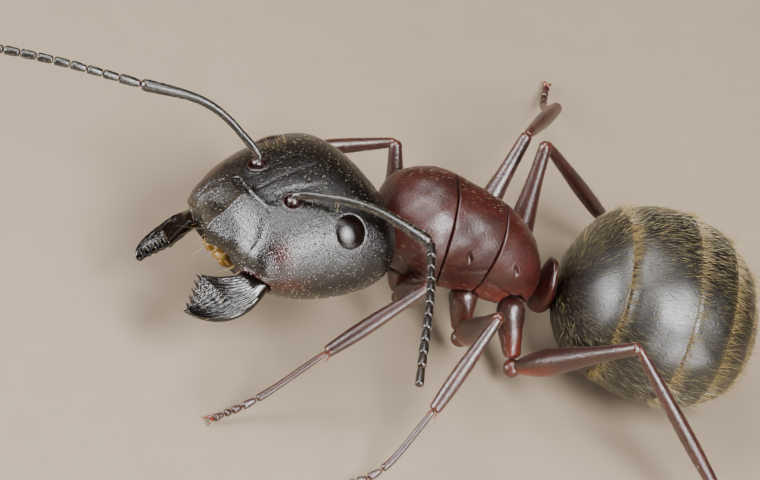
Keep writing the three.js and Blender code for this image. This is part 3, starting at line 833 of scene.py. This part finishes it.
def shapeMandible(side):
    rows, around = mandible["detail"]
    u = np.linspace(0, 0.985, rows)
    outer = bezier(mandible["outer"], u)
    tip, heel, heelAt = np.array(mandible["outer"][-1]), np.array(mandible["inner"][-1]), mandible["heelAt"]
    bite = np.clip((u - heelAt) / (1 - heelAt), 0, 1)
    inner = np.where((u < heelAt)[:, None], bezier(mandible["inner"], np.clip(u / heelAt, 0, 1)),
                     heel + (tip - heel) * bite[:, None])
    angle = allRound(around)
    across, bite = np.meshgrid((1 - np.cos(angle)) / 2, bite)  # 0 at the outer edge, 1 at the biting edge
    way = np.repeat(u[:, None], around, 1)
    flat = outer[:, None] + (inner - outer)[:, None] * across[..., None]
    # 1 at a tooth's point, 0 in a notch
    saw = np.abs((bite * mandible["teeth"] + mandible["firstTooth"]) % 1 - 0.5) * 2
    saw = np.where((bite > 0.0) & (bite < 1), saw, 1)
    notch = mandible["toothDepth"] * (1 - saw) * smoothStep(bite, 0, 0.06) * across ** 5
    inward = (outer - inner)[:, None]
    width = np.linalg.norm(inward, axis=-1, keepdims=True) + 1e-9
    flat = flat + inward / width * np.minimum(notch[..., None], width * 0.8)
    thick = np.minimum(along(mandible["thickness"], way)[..., 0], width[..., 0] * 0.5)
    thinning = mandible["thinning"]
    thick = thick * (1 - thinning * across) * (1 - thinning * (1 - saw) * across ** 3)
    section = signedPower(np.sin(angle), mandible["bluntness"])[None]
    # ribs run from the hinge to the teeth and waver a little
    spots = np.stack([flat[..., 0], flat[..., 1], across], -1)
    turns = mandible["ribs"] * across + ripples(spots, *mandible["ribWaver"])
    rib = np.cos(2 * math.pi * turns) ** 3 * np.clip(0.9 + ripples(spots, *mandible["ribUneven"]), 0.3, 1.3)
    fade = smoothStep(way, 0.12, 0.3) * smoothStep(-np.abs(across - 0.5), -0.47, -0.36)
    height = thick * section + np.sign(section) * mandible["ribHeight"] * rib * fade
    curl = mandible["curl"] * (flat[..., 0] / tip[0]) ** 2
    points = np.stack([flat[..., 0], -side * flat[..., 1], height - curl], -1)
    # the hinge end swells into a ball that turns in the head's pit
    points = points + np.array((-0.06, 0, 0)) * smoothStep(-points[..., :1], -0.2, 0)
    turn = (Matrix.Rotation(math.radians(side * mandible["open"]), 3, "Z")
            @ Matrix.Rotation(math.radians(mandible["droop"]), 3, "Y")
            @ Matrix.Rotation(math.radians(-side * mandible["roll"]), 3, "X"))
    points = points @ np.array(turn).T + sided(mandible["hinge"], side)
    tinge = 1.2 * np.clip(across - 0.75, 0, 1) * (bite <= 0) + 0.3 * smoothStep(-flat[..., 0], -0.3, 0)
    amount = np.where(section > 0, 0.35, 1.0) * smoothStep(way, 0.1, 0.3)
    grid = {"rings": points, "marks": {"tinge": np.clip(tinge, 0, 1), "amount": amount}}
    return placed(grid, headTurn, head["place"])


mandibleGrids = [shapeMandible(side) for side in (1, -1)]
for sideName, grid in zip(("left", "right"), mandibleGrids):
    addSkin("mandible_" + sideName, [grid], mandibleCuticle)
print("mandibles are on")

# Mouthparts: an upper lip, two pairs of soft lobes, two pairs of palps and a tongue. Each lobe is its left
# one's route, radii and flatness.
mouth = {
    "tuck": (-0.06, 0, 0.03),
    "lip": {"front": 2.0, "back": 1.2, "squareness": 2.6,
            "rows": [[0.05, -0.3, -0.34], [0.34, -0.16, -0.34], [0.4, -0.14, -0.32], [0.38, -0.14, -0.3],
                     [0.3, -0.15, -0.3], [0.1, -0.16, -0.3]]},
    "lipNotch": (0.16, 0.07),
    "lobes": [([(1.15, 0.26, -0.5), (1.5, 0.27, -0.44), (1.76, 0.2, -0.32)], [0.15, 0.2, 0.2, 0.16], 0.7),
              ([(1.1, 0.16, -0.6), (1.5, 0.14, -0.58), (1.78, 0.12, -0.5)], [0.12, 0.14, 0.13, 0.08], 1)],
    "tongue": ([(1.3, 0, -0.5), (1.65, 0, -0.46), (1.84, 0, -0.42)], [0.14, 0.16, 0.12], 0.6),
    "palps": [[(1.2, 0.36, -0.6), (1.3, 0.4, -0.68), (0.9, 0.34, -0.78)],
              [(1.3, 0.16, -0.62), (1.42, 0.2, -0.68), (1.1, 0.22, -0.78)]],
    "palpSegments": 5,
    "palpRadii": [0.027, 0.045],
}


def shapeMouthparts():
    share, angle = np.meshgrid(np.linspace(0.02, 0.98, 24), allRound(28), indexing="ij")
    rings = lobe(mouth["lip"], share, angle)
    rings[..., 0] -= ridge(rings[..., 1], *mouth["lipNotch"]) * smoothStep(rings[..., 0], 1.6, 1.9)
    grids = [marked({"rings": rings}, tinge=0.35)]
    count = mouth["palpSegments"]
    for side in (1, -1):
        for route, radii, flat in mouth["lobes"]:
            grids.append(tube(sided(route, side), radii, rows=22, around=20, flat=flat))
        for route in mouth["palps"]:
            grids += [tube(sided(route, side), mouth["palpRadii"], rows=9, around=10, start=number / count,
                           end=(number + 0.96) / count) for number in range(count)]
    route, radii, flat = mouth["tongue"]
    grids.append(tube(route, radii, rows=22, around=20, flat=flat))
    place = np.array(head["place"]) + mouth["tuck"] @ headTurn.T
    return [placed(grid, headTurn, place) for grid in grids]


addSkin("mouthparts", shapeMouthparts(), mouthCuticle)
print("mouthparts are in")

# Antennae: a long first segment on a ball joint, then eleven short ones.
feelerRoutes = {
    "left": {"scape": [(1.03, -0.5, 4.42), (0.18, -0.3, 4.54), (-0.99, 0.11, 4.42)],
             "funiculus": [(-0.93, 1.6, 4.5), (-0.72, 4.05, 4.4)]},
    "right": {"scape": [(3.48, -2.32, 4.12), (4.11, -2.52, 4.23), (5.39, -2.63, 4.16)],
              "funiculus": [(7.3, -2.75, 4.1), (9.4, -3.3, 3.4)]},
}
feeler = {
    "scapeRadii": [0.085, 0.082, 0.088, 0.095, 0.105, 0.125, 0.14],
    "neckRadii": [0.07, 0.06, 0.075, 0.085],
    "hinge": (0, 0, -0.02),
    "neckEnd": (-0.02, 0.03, 0.17),
    "ball": 0.15,
    "segments": [0.45] + [0.345] * 9 + [0.5],
    "segmentRadii": [0.105, 0.098, 0.096, 0.096, 0.097, 0.098, 0.1, 0.102, 0.102, 0.1, 0.094],
    "segmentTaper": np.array((0.82, 0.95, 1, 0.95)),
    "knuckle": 0.07,
}


def shapeScape(side, route):
    hinge, out = (onHead(sided(head["socket"]["spot"] + np.array(feeler[key]), side))
                  for key in ("hinge", "neckEnd"))
    ball = tube([hinge - (0, 0, 0.06), hinge + (out - hinge) * 0.7], [feeler["ball"]] * 2, rows=14, around=20)
    neck = tube([hinge, out, route[0]], feeler["neckRadii"], rows=26, around=20, end=0.6, roundEnd=0)
    scape = tube([out, *route], feeler["scapeRadii"], rows=90, around=24, roundStart=0.6, roundEnd=1.0)
    scape = marked(scape, tinge=ridge(scape["u"], 0.5, 0.05) + 0.4 * smoothStep(scape["u"], 0.95, 1))
    return [marked(ball, tinge=0.35), neck, scape]


def shapeFuniculus(route):
    lengths = np.array(feeler["segments"])
    joints = np.concatenate([[0], np.cumsum(lengths)]) / lengths.sum()
    grids = []
    for number, radius in enumerate(feeler["segmentRadii"]):
        grid = tube(route, radius * feeler["segmentTaper"], rows=22, around=20, start=joints[number],
                    end=joints[number + 1] - 0.002, roundStart=0.4, roundEnd=0.4)
        grids.append(marked(grid, tinge=ridge(grid["u"], 0.75, 0.12) + 0.15 * (number > 8)))
    return grids + [tube(route[:2], [feeler["knuckle"]] * 2, rows=10, around=14, end=0.1)]


feelerGrids = {}
for sideName, side in (("left", 1), ("right", -1)):
    route = feelerRoutes[sideName]
    scapeGrids = shapeScape(side, route["scape"])
    funiculusGrids = shapeFuniculus([route["scape"][-1], *route["funiculus"]])
    addSkin("scape_" + sideName, scapeGrids, feelerCuticle)
    addSkin("funiculus_" + sideName, funiculusGrids, feelerCuticle)
    feelerGrids[sideName] = scapeGrids[-1:] + funiculusGrids[:-1]
print("antennae are on")


# Plates: parts of a lobe between two edges, rolled in at their rims.

def plate(shape, first, last, rows, around):
    # the plate's rings, how far each point is from its front and hind edges, and its angle
    angle = allRound(around)
    t = np.linspace(0, 1, rows)
    t = t - 0.08 * np.sin(2 * math.pi * t)
    first, last = (np.broadcast_to(edge(angle) if callable(edge) else edge, angle.shape)
                   for edge in (first, last))
    share = first[None] + (last - first)[None] * t[:, None]
    angle = np.broadcast_to(angle, share.shape)
    rings = lobe(shape, share, angle)
    steps = np.linalg.norm(np.diff(rings, axis=0), axis=-1)
    gone = np.concatenate([np.zeros((1, around)), np.cumsum(steps, 0)])
    return rings, gone, gone[-1] - gone, angle


def rolled(gap, width):
    # how far a rim of quarter-round section has dropped at a distance from its edge
    near = np.clip(gap / width, 0, 1)
    return width * (1 - np.sqrt(np.clip(1 - (1 - near) ** 2, 0, 1)))


def closedIn(rings, marks, depth=0.5):
    # turns both ends inwards, so that a wall stands behind each rim
    def inner(ring, share):
        return ring.mean(0) + (ring - ring.mean(0)) * share
    starts = [inner(rings[0], 1 - depth), inner(rings[0], 1 - depth * 0.3)]
    ends = [inner(rings[-1], 1 - depth * 0.3), inner(rings[-1], 1 - depth)]
    marks = {key: np.pad(mark, ((2, 2), (0, 0)), mode="edge") for key, mark in marks.items()}
    return {"rings": np.concatenate([starts, rings, ends]), "marks": marks}


# Trunk: three plates. The first carries the neck, the second and third the breathing holes.
trunk = {
    "place": (0, -2.05, 0),
    "front": -0.32,
    "back": -4.35,
    "squareness": 2.2,
    "rows": [[0, 2.7, 2.7], [0.72, 3.3, 2.12], [1.1, 3.68, 1.72], [1.2, 3.85, 1.5], [1.0, 3.76, 1.3],
             [0.84, 3.5, 1.15], [0.74, 3.02, 1.12], [0.5, 2.4, 1.25], [0, 1.8, 1.8]],
    "waist": {"x": -1.86, "z": 2.7, "tilt": 8, "bow": 0.12},
    "groove": {"x": -2.95, "z": 2.5, "tilt": -6, "bow": 0},
    "gap": 0.012,
    "rim": 0.045,
    "around": 150,
    "hipPit": 0.4,
    "poreRim": (0.008, 0.03),
    "ripples": (0.008, 0.6, 11),
    "blotches": (0.12, 0.5, 12),
}
neckPiece = {"route": [(0, -2, 2.42), (-0.5, -2.02, 2.52), (-1.1, -2.05, 2.7)],
             "radii": [0.3, 0.33, 0.45, 0.58], "folds": 7, "foldHeight": 0.03}


def trunkCut(cut, beyond):
    # the share where each angle's line along the trunk meets a tilted plane, found in a few rounds
    def edge(angle):
        share = np.full(angle.shape, 0.4)
        for _ in range(8):
            rise = lobe(trunk, share, angle)[..., 2] - cut["z"]
            x = cut["x"] + math.tan(math.radians(cut["tilt"])) * rise - cut["bow"] * np.sin(angle) ** 2
            share = shareAt(trunk, x + beyond)
        return share
    return edge


def shapeTrunk(first, last, rows, ridges, pores):
    rings, gone, left, _ = plate(trunk, first, last, rows, trunk["around"])
    height = ripples(rings, *trunk["ripples"])
    for edge, gap in ((first, gone), (last, left)):
        if callable(edge):
            height = height - rolled(gap, trunk["rim"])
    for side in (1, -1):
        local = rings * (1, side, 1)
        for path, *size in ridges:
            height = height + ridge(lineGap(local, path), *size)
        for path, depth, radius in pores:
            gap = lineGap(local, path)
            height = height + ridge(gap - radius, *trunk["poreRim"])
            height = height - depth * smoothStep(-gap, -radius, -radius / 2)
    rings = raised(rings, height)
    for joints in legs.values():
        rings = carved(rings, np.array(joints[0]) - np.array(trunk["place"]), [trunk["hipPit"]] * 3)
    # painted orange glow of light through the thin cuticle: low on the sides, stronger towards the rear,
    # broken by uneven blotches
    low = smoothStep(-rings[..., 2], -2.35, -1.6)
    side = smoothStep(np.abs(rings[..., 1]), 0.3, 0.7)
    rear = smoothStep(-rings[..., 0], 1.6, 2.6)
    blotches = ripples(rings, *trunk["blotches"])
    tinge = np.clip(low * side * (0.35 + 0.5 * rear) + blotches * low, 0, 1)
    grid = closedIn(rings, {"tinge": tinge, "amount": 0.3 + 0.7 * smoothStep(rings[..., 2], 2.2, 3.2)})
    return placed(grid, np.eye(3), trunk["place"])


def shapeNeck():
    neck = tube(neckPiece["route"], neckPiece["radii"], rows=40, around=40, roundEnd=0.5)
    folds = neckPiece["foldHeight"] * np.cos(2 * math.pi * neck["u"] * neckPiece["folds"])
    rings = raised(neck["rings"], folds * smoothStep(-neck["u"], -0.7, -0.3))
    return marked({"rings": rings}, tinge=0.3)


# each plate's front and hind edges and rows, its grooves and ridges (path, height and width), and its
# breathing holes (path, depth and radius)
trunkPlates = {
    "pronotum": (0.012, trunkCut(trunk["waist"], trunk["gap"]), 110,
                 [([(-0.6, 0.6, 2.5), (-1.2, 1.1, 2.35), (-1.7, 1.1, 2.0)], -0.035, 0.05)], []),
    "mesothorax": (trunkCut(trunk["waist"], -trunk["gap"]), trunkCut(trunk["groove"], trunk["gap"]), 90,
                   [([(-1.9, 1.0, 2.75), (-2.3, 1.0, 2.55), (-2.9, 0.86, 2.62)], -0.04, 0.04),
                    ([(-1.95, 1.0, 2.1), (-2.4, 1.0, 1.95), (-2.8, 0.85, 2.1)], -0.025, 0.04)],
                   [([(-2.35, 0.93, 3.02), (-2.42, 0.93, 2.9)], 0.09, 0.07)]),
    "propodeum": (trunkCut(trunk["groove"], -trunk["gap"]), 0.988, 90,
                  [([(-3.05, 0.84, 2.3), (-3.5, 0.8, 2.0), (-4.0, 0.62, 1.75)], -0.04, 0.045),
                   ([(-3.5, 0.76, 1.62), (-4.05, 0.6, 1.5)], 0.06, 0.13)],
                  [([(-3.52, 0.72, 2.75), (-3.58, 0.72, 2.6)], 0.08, 0.05)]),
}
trunkGrids = []
for name, parts in trunkPlates.items():
    grid = shapeTrunk(*parts)
    trunkGrids.append(grid)
    addSkin(name, [grid, shapeNeck()] if name == "pronotum" else [grid], trunkCuticle)
print("trunk is on")

# Petiole: a thin upright scale, leaning a little forward, on a short stalk.
petiole = {
    "place": (-4.6, -2.0, 1.55),
    "top": 0.9,
    "bottom": -0.56,
    "halfLengths": [0.2, 0.27, 0.27, 0.25, 0.2, 0.15, 0.1, 0.05],
    "halfWidths": [0.22, 0.3, 0.38, 0.44, 0.48, 0.49, 0.42, 0.2],
    "lean": 0.05,
    "crest": 0.07,
    "detail": (60, 64),
    "stalk": [(0.36, 0, 0.0), (-0.36, 0, -0.03)],
    "stalkRadii": [0.24, 0.27, 0.25],
    "stalkRidges": 3,
    "ridgeHeight": 0.02,
    "ripples": (0.006, 0.3, 21),
}


def shapePetiole():
    rows, around = petiole["detail"]
    t = np.linspace(0, 1, rows)
    angle = allRound(around)[None]
    foot = np.sqrt(np.clip(1 - np.clip(1 - t / 0.12, 0, 1) ** 2, 0.02, 1))
    long, wide = (along(petiole[key], t)[:, 0] * foot for key in ("halfLengths", "halfWidths"))
    z = (petiole["bottom"] + (petiole["top"] - petiole["bottom"]) * t)[:, None]
    z = z - petiole["crest"] * np.sin(angle) ** 2 * smoothStep(t, 0.6, 1)[:, None]
    x = np.cos(angle) * long[:, None] + petiole["lean"] * t[:, None] ** 2
    rings = np.stack([x, signedPower(np.sin(angle), 0.85) * wide[:, None], z], -1)
    rings = raised(rings, ripples(rings, *petiole["ripples"]))
    stalk = tube(petiole["stalk"], petiole["stalkRadii"], rows=24, around=36)
    ribs = petiole["ridgeHeight"] * np.cos(2 * math.pi * stalk["u"] * petiole["stalkRidges"])
    grids = [marked({"rings": rings}, tinge=np.clip(0.6 - z, 0, 1) * 0.6),
             marked({"rings": raised(stalk["rings"], ribs)}, tinge=0.5)]
    return [placed(grid, np.eye(3), petiole["place"]) for grid in grids]


petioleGrids = shapePetiole()
addSkin("petiole", petioleGrids, trunkCuticle)
print("petiole is on")

# Gaster: five rings, each one's hind edge thin, straw-coloured and lifted over the next.
gaster = {
    "place": (-6.9, -1.85, 2.02),
    "front": 2.1,
    "back": -2.35,
    "squareness": 2.05,
    "rows": [[0, -0.3, -0.3], [0.92, 0.68, -1.02], [1.63, 1.45, -1.52], [2.04, 1.84, -1.76],
             [2.15, 1.94, -1.84], [2.02, 1.78, -1.76], [1.6, 1.33, -1.46], [0.88, 0.67, -0.9],
             [0, -0.15, -0.15]],
    "ends": [1.16, -0.3, -1.22, -1.85],
    "ringRows": [70, 70, 70, 50, 50],
    "around": 200,
    "tuck": 0.035,
    "under": -0.05,
    "lift": 0.035,
    "rim": 0.022,
    "plateStep": 0.03,
    "thin": 0.5,
    "ripples": (0.006, 0.7),
}
gasterTurn = turned(0, 4, 0)


def shapeRing(number):
    # a ring with its ends closed in, and its open skin for the hairs
    edges = [0.012, *(float(shareAt(gaster, x)) for x in gaster["ends"]), 0.988]
    hidden = gaster["tuck"] if number else 0
    rings, gone, left, angle = plate(gaster, edges[number] - hidden, edges[number + 1],
                                     gaster["ringRows"][number], gaster["around"])
    t = gone / gone[-1]
    inFront = number < len(gaster["ends"])
    height = gaster["under"] * (number > 0) * (1 - smoothStep(t, 0, 0.3))
    height = height + inFront * (gaster["lift"] * smoothStep(t, 0.3, 1) - rolled(left, gaster["rim"]))
    # the upper plate laps over the lower one, low on the side
    lap = np.sin(angle) + 0.28 + 0.1 * np.sin(3 * t)
    height = height + gaster["plateStep"] * smoothStep(lap, -0.015, 0.015) * smoothStep(t, 0.1, 0.3)
    rings = raised(rings, height + ripples(rings, *gaster["ripples"], 31 + number))
    thin = gaster["thin"] * smoothStep(-left, -0.16, -0.03) * inFront
    amount = (1 - 0.3 * smoothStep(-left, -0.1, 0)) * (0.35 + 0.65 * smoothStep(np.sin(angle), -0.7, -0.1))
    grid = closedIn(rings, {"tinge": thin, "amount": amount}, 0.3)
    return [placed(part, gasterTurn, gaster["place"]) for part in (grid, {"rings": rings})]


gasterGrids, gasterSkins = [], []
for number in range(len(gaster["ends"]) + 1):
    grid, skin = shapeRing(number)
    gasterGrids.append(grid)
    gasterSkins.append(skin["rings"])
    addSkin(f"gaster_ring_{number + 1}", [grid], gasterCuticle)
print("gaster is on")

# Legs: hip cone, small ring segment, thigh, shin with two spurs, five-part foot, two claws and a pad.
legLook = {
    "coxa": [0.24, 0.31, 0.28, 0.23, 0.18],
    "coxaEnd": 0.88,
    "coxaRipples": (0.012, 0.5, 41),
    "trochanter": [0.15, 0.2, 0.19, 0.14],
    "trochanterEnds": (-0.2, 0.22),
    "femur": [0.13, 0.24, 0.3, 0.27, 0.23, 0.19, 0.165, 0.15, 0.13],
    "femurFrom": 0.12,
    "kneeOverlap": 0.05,
    "tibia": [0.09, 0.12, 0.135, 0.15, 0.165, 0.17, 0.165, 0.15, 0.13],
    "basitarsus": [0.06, 0.07, 0.072, 0.075, 0.085],
    "footSegment": [0.051, 0.07225, 0.085, 0.08925],
    "lastSegment": [0.04675, 0.0595, 0.08075, 0.085],
    "footParts": [0.34, 0.24, 0.17, 0.25],
    "archDrop": (1, 1, 0.86),
    "claw": [(0.02, 0.01), (0.13, 0.035), (0.2, -0.075)],  # how far beyond the toe and how high
    "clawRadii": [0.034, 0.032, 0.022, 0.006],
    "clawSpread": 0.55,
    "pad": (0.09, -0.03),
    "padRadii": [0.05, 0.055, 0.045],
    "spur": 0.22,
    "spurRadii": [0.02, 0.015, 0.004],
    "spurWays": [(0.35, -0.55), (-0.35, -0.5)],
}


def shapeThigh(hip, trochanter, knee):
    coxa = tube([hip, trochanter], legLook["coxa"], rows=44, around=34, end=legLook["coxaEnd"], roundEnd=0.6)
    coxa["rings"] = raised(coxa["rings"], ripples(coxa["rings"], *legLook["coxaRipples"]))
    # the hip goes orange towards its end, and more on its under side, where the extra is painted glow
    coxa = marked(coxa, tinge=0.75 * smoothStep(coxa["u"], 0.3, 1) * (0.4 + 0.6 * (coxa["lower"] > 0)))
    ahead = unit(knee - trochanter)
    ring = tube([trochanter + ahead * end for end in legLook["trochanterEnds"]], legLook["trochanter"],
                rows=22, around=28)
    thigh = tube([trochanter + ahead * legLook["femurFrom"], knee + ahead * legLook["kneeOverlap"]],
                 legLook["femur"], rows=90, around=34, roundEnd=0.9, roundStart=0.7)
    # the thigh's start is painted orange on its under side, a painted glow; its knee end is tinged too
    glow = 0.8 * smoothStep(-thigh["u"], -0.42, -0.05) * smoothStep(thigh["lower"], -0.6, 0.4)
    thigh = marked(thigh, tinge=glow + ridge(thigh["u"] - 1, 0.12, 0.05))
    return [coxa], [marked(ring, tinge=0.15), thigh]


def shapeShin(knee, ankle, arch):
    down, ahead = unit(ankle - knee), unit(arch - ankle)
    shin = tube([knee - down * 0.02, ankle], legLook["tibia"], rows=90, around=30, roundStart=0.9,
                roundEnd=0.5)
    shin = marked(shin, tinge=ridge(shin["u"], 0.18, 0.05) + 0.2 * smoothStep(shin["u"], 0.93, 1))
    aside = unit(np.cross(ahead, (0, 0, 1)))
    spurs = []
    for sideways, over in legLook["spurWays"]:
        heading = unit(ahead + sideways * aside + over * unit(np.cross(aside, ahead)))
        start = ankle - down * 0.06 + 0.08 * unit(heading - ahead)
        bend, end = heading * legLook["spur"] * 0.6, (heading + 0.15 * ahead) * legLook["spur"]
        spur = tube([start, start + bend, start + end], legLook["spurRadii"], rows=10, around=10)
        spurs.append(marked(spur, tinge=0.9))
    return [shin, *spurs]


def shapeFoot(ankle, arch, toe):
    path = [ankle, arch * legLook["archDrop"], toe]
    lengths = [np.linalg.norm(arch - ankle), *(np.array(legLook["footParts"]) * np.linalg.norm(toe - arch))]
    stops = np.concatenate([[0], np.cumsum(lengths)]) / np.sum(lengths)
    foot = []
    for number, key in enumerate(["basitarsus", *["footSegment"] * 3, "lastSegment"]):
        part = tube(path, legLook[key], rows=18 if number else 40, around=20, start=stops[number],
                    end=stops[number + 1] - 0.004, roundStart=0.8, roundEnd=0.7)
        foot.append(marked(part, tinge=ridge(part["u"], 0.3, 0.1),
                           amount=smoothStep(part["rings"][..., 2], 0.12, 0.25)))
    reach = unit((toe - arch) * (1, 1, 0))
    aside = unit(np.cross(reach, (0, 0, 1)))
    for spread in (legLook["clawSpread"], -legLook["clawSpread"]):
        heading = unit(reach + spread * aside)
        hook = [toe + heading * far + (0, 0, up) for far, up in legLook["claw"]]
        foot.append(marked(tube(hook, legLook["clawRadii"], rows=20, around=12), tinge=0.5))
    far, up = legLook["pad"]
    pad = tube([toe, toe + reach * far + (0, 0, up)], legLook["padRadii"], rows=10, around=14, flat=0.6)
    return foot + [marked(pad, tinge=0.2)]


legGrids = {}
for legName, joints in legs.items():
    hip, trochanter, knee, ankle, arch, toe = (np.array(joint, float) for joint in joints)
    coxa, femur = shapeThigh(hip, trochanter, knee)
    tibia, foot = shapeShin(knee, ankle, arch), shapeFoot(ankle, arch, toe)
    for part, grids in {"coxa": coxa, "femur": femur, "tibia": tibia, "tarsus": foot}.items():
        addSkin(f"leg_{legName}_{part}", grids, legCuticle)
    legGrids[legName] = [*coxa, femur[1], tibia[0], *foot[:5]]
print("legs are on")

# The gaster's coat: short olive down that lies back, a golden fringe on each ring's edge and a few bristles.
gasterHair = {"Per Square Mm": 300.0, "Length Mm": 0.16, "Width Mm": 0.004, "Lift": 0.14, "Untidy": 0.26,
              "Bend": 0.05}
fringe = {"Length Mm": 0.28, "Width Mm": 0.0075, "Lift": 0.0, "Untidy": 0.1, "Bend": 0.08}
gasterBristle = {"Length Mm": 0.36, "Width Mm": 0.011, "Lift": 0.0, "Untidy": 0.12, "Bend": 0.12}
# rows of roots along a ring, with their span in shares of the way round
fringeRow = {"count": 800, "lift": 0.32, "jitter": 0.6, "span": (-0.08, 0.58)}
hindRow = {"count": 12, "lift": 0.7, "jitter": 0.25, "span": (-0.08, 0.58)}
middleRow = {"count": 6, "lift": 0.8, "jitter": 0.3, "span": (-0.05, 0.55)}
tipRow = {"count": 18, "lift": 0.5, "jitter": 0.3, "span": (0.0, 1.0)}
for number, grid in enumerate(gasterGrids):
    hair = {**gasterHair, "Seed": 50 + number}
    addCoat(f"hair_gaster_{number + 1}", [grid], hair, oliveHair)


def rowOfRoots(rings, row, seed, count, lift, jitter, span):
    # roots spread along one row of a skin, lying the way the skin runs
    random = np.random.default_rng(seed)
    normals = outward(rings)
    flow = np.gradient(rings, axis=0)
    rows, around = rings.shape[:2]
    roots = []
    for _ in range(count):
        col = int(random.uniform(*span) * around) % around
        at = int(np.clip(row + random.integers(-2, 1), 0, rows - 1))
        heading = unit(flow[at, col]) + lift * normals[at, col] + jitter * random.normal(size=3) * 0.5
        roots.append((rings[at, col], unit(heading), normals[at, col], (col / around, at / rows)))
    return roots


fringeRoots, bristleRoots = [], []
for number, rings in enumerate(gasterSkins):
    if number < len(gaster["ends"]):
        fringeRoots += rowOfRoots(rings, len(rings) - 3, 70 + number, **fringeRow)
    bristleRoots += rowOfRoots(rings, int(len(rings) * 0.85), 80 + number, **hindRow)
    bristleRoots += rowOfRoots(rings, int(len(rings) * 0.5), 90 + number, **middleRow)
bristleRoots += rowOfRoots(gasterSkins[-1], len(gasterSkins[-1]) - 12, 99, **tipRow)
addRooted("hair_gaster_fringe", fringeRoots, fringe, goldHair)
addRooted("hair_gaster_bristles", bristleRoots, gasterBristle, goldHair)

# The head's coat is sparse: tiny pale hairs in its pits, long ones on the crown and along the mouth's edge.
headHair = {"Per Square Mm": 62.0, "Length Mm": 0.032, "Width Mm": 0.007, "Lift": 0.35, "Untidy": 0.3,
            "Bend": 0.1, "Seed": 5}
bristle = {"Length Mm": 0.34, "Width Mm": 0.011, "Lift": 0.0, "Untidy": 0.06, "Uneven": 0.35, "Bend": 0.08}
marginBristle = {**bristle, "Length Mm": 0.44, "Width Mm": 0.014}
shortBristle = {**bristle, "Length Mm": 0.1, "Width Mm": 0.008}
addCoat("hair_head", [headGrid], headHair, paleHair)


def headRoots(wanted, seed, heading, jitter=0.2):
    # roots on the head's skin near each wanted place, given in the head's own frame
    random = np.random.default_rng(seed)
    skin = (headGrid["rings"] - np.array(head["place"])) @ headTurn
    normals = outward(skin)
    rows, around = skin.shape[:2]
    roots = []
    for spot in wanted:
        gaps = np.linalg.norm(skin - np.array(spot), axis=-1)
        row, col = np.unravel_index(np.argmin(gaps), (rows, around))
        normal = normals[row, col]
        way = unit(np.array(heading(spot, normal)) + jitter * random.normal(size=3))
        roots.append((onHead(skin[row, col]), headTurn @ way, headTurn @ normal, (col / around, row / rows)))
    return roots


random = np.random.default_rng(8)
marginSpots = [(2.3, y + 0.03 * random.normal(), -0.3 + 0.05 * random.normal())
               for y in np.linspace(-0.8, 0.9, 18)]
crownSpots = [(random.uniform(-0.5, 0.3), side * random.uniform(0.9, 1.45), 1.25)
              for side in (1, -1) for _ in range(8)]
shortSpots = [(random.uniform(-1.2, 1.2), side * 1.6, random.uniform(-0.9, -0.2))
              for side in (1, -1) for _ in range(10)]
shortSpots += [(random.uniform(0.5, 1.5), random.uniform(-0.5, 0.5), 1.0) for _ in range(6)]
for name, spots, seed, heading, look in (
        ("hair_head_margin", marginSpots, 9, lambda spot, normal: (1.0, 0.25 * spot[1], -0.3), marginBristle),
        ("hair_head_bristles", crownSpots, 10, lambda spot, normal: normal + (0.3, 0, 0.3), bristle),
        ("hair_head_under", shortSpots, 11, lambda spot, normal: normal + (0.3, 0, -0.3), shortBristle)):
    addRooted(name, headRoots(spots, seed, heading), look, goldHair)

# The other coats: short bristles on the jaws, mostly on their under side, close down all over the feelers,
# and thin brown down that lies back on the trunk and down the legs.
mandibleHair = {"Per Square Mm": 14.0, "Length Mm": 0.08, "Width Mm": 0.008, "Lift": 0.6, "Untidy": 0.4,
                "Seed": 6}
feelerHair = {"Per Square Mm": 170.0, "Length Mm": 0.04, "Width Mm": 0.004, "Lift": 0.35, "Untidy": 0.25,
              "Seed": 7}
trunkHair = {"Per Square Mm": 40.0, "Length Mm": 0.09, "Width Mm": 0.005, "Lift": 0.25, "Untidy": 0.3,
             "Seed": 12}
legHair = {"Per Square Mm": 90.0, "Length Mm": 0.08, "Width Mm": 0.006, "Lift": 0.3, "Untidy": 0.25,
           "Seed": 13}
addCoat("hair_mandibles", mandibleGrids, mandibleHair, goldHair)
for sideName, grids in feelerGrids.items():
    addCoat("hair_feeler_" + sideName, grids, feelerHair, paleHair)
addCoat("hair_trunk", trunkGrids + petioleGrids, trunkHair, brownHair)
for legName, grids in legGrids.items():
    addCoat("hair_leg_" + legName, grids, legHair, brownHair)

# Floor: a plain pale sheet, 0.8 m wide, of matt paper with faint clouds.
paper = {"half": 0.4, "clouds": 900, "colours": ("#837462", "#897a67"), "roughness": 0.85}


def addFloor():
    material, add, surface = addMaterial("palePaper")
    clouds = add("ShaderNodeTexNoise", {"Scale": paper["clouds"], "Detail": 2})["Fac"]
    dark, light = (hexColour(code) for code in paper["colours"])
    colour = add("ShaderNodeMix", {0: clouds, 6: dark, 7: light}, data_type="RGBA")[2]
    fill(surface, {"Base Color": colour, "Roughness": paper["roughness"]})
    mesh = bpy.data.meshes.new("floor")
    corners = [(x * paper["half"], y * paper["half"], 0) for x, y in ((-1, -1), (1, -1), (1, 1), (-1, 1))]
    mesh.from_pydata(corners, [], [(0, 1, 2, 3)])
    mesh.materials.append(material)
    link("floor", mesh)


addFloor()
print("coats and floor are done")
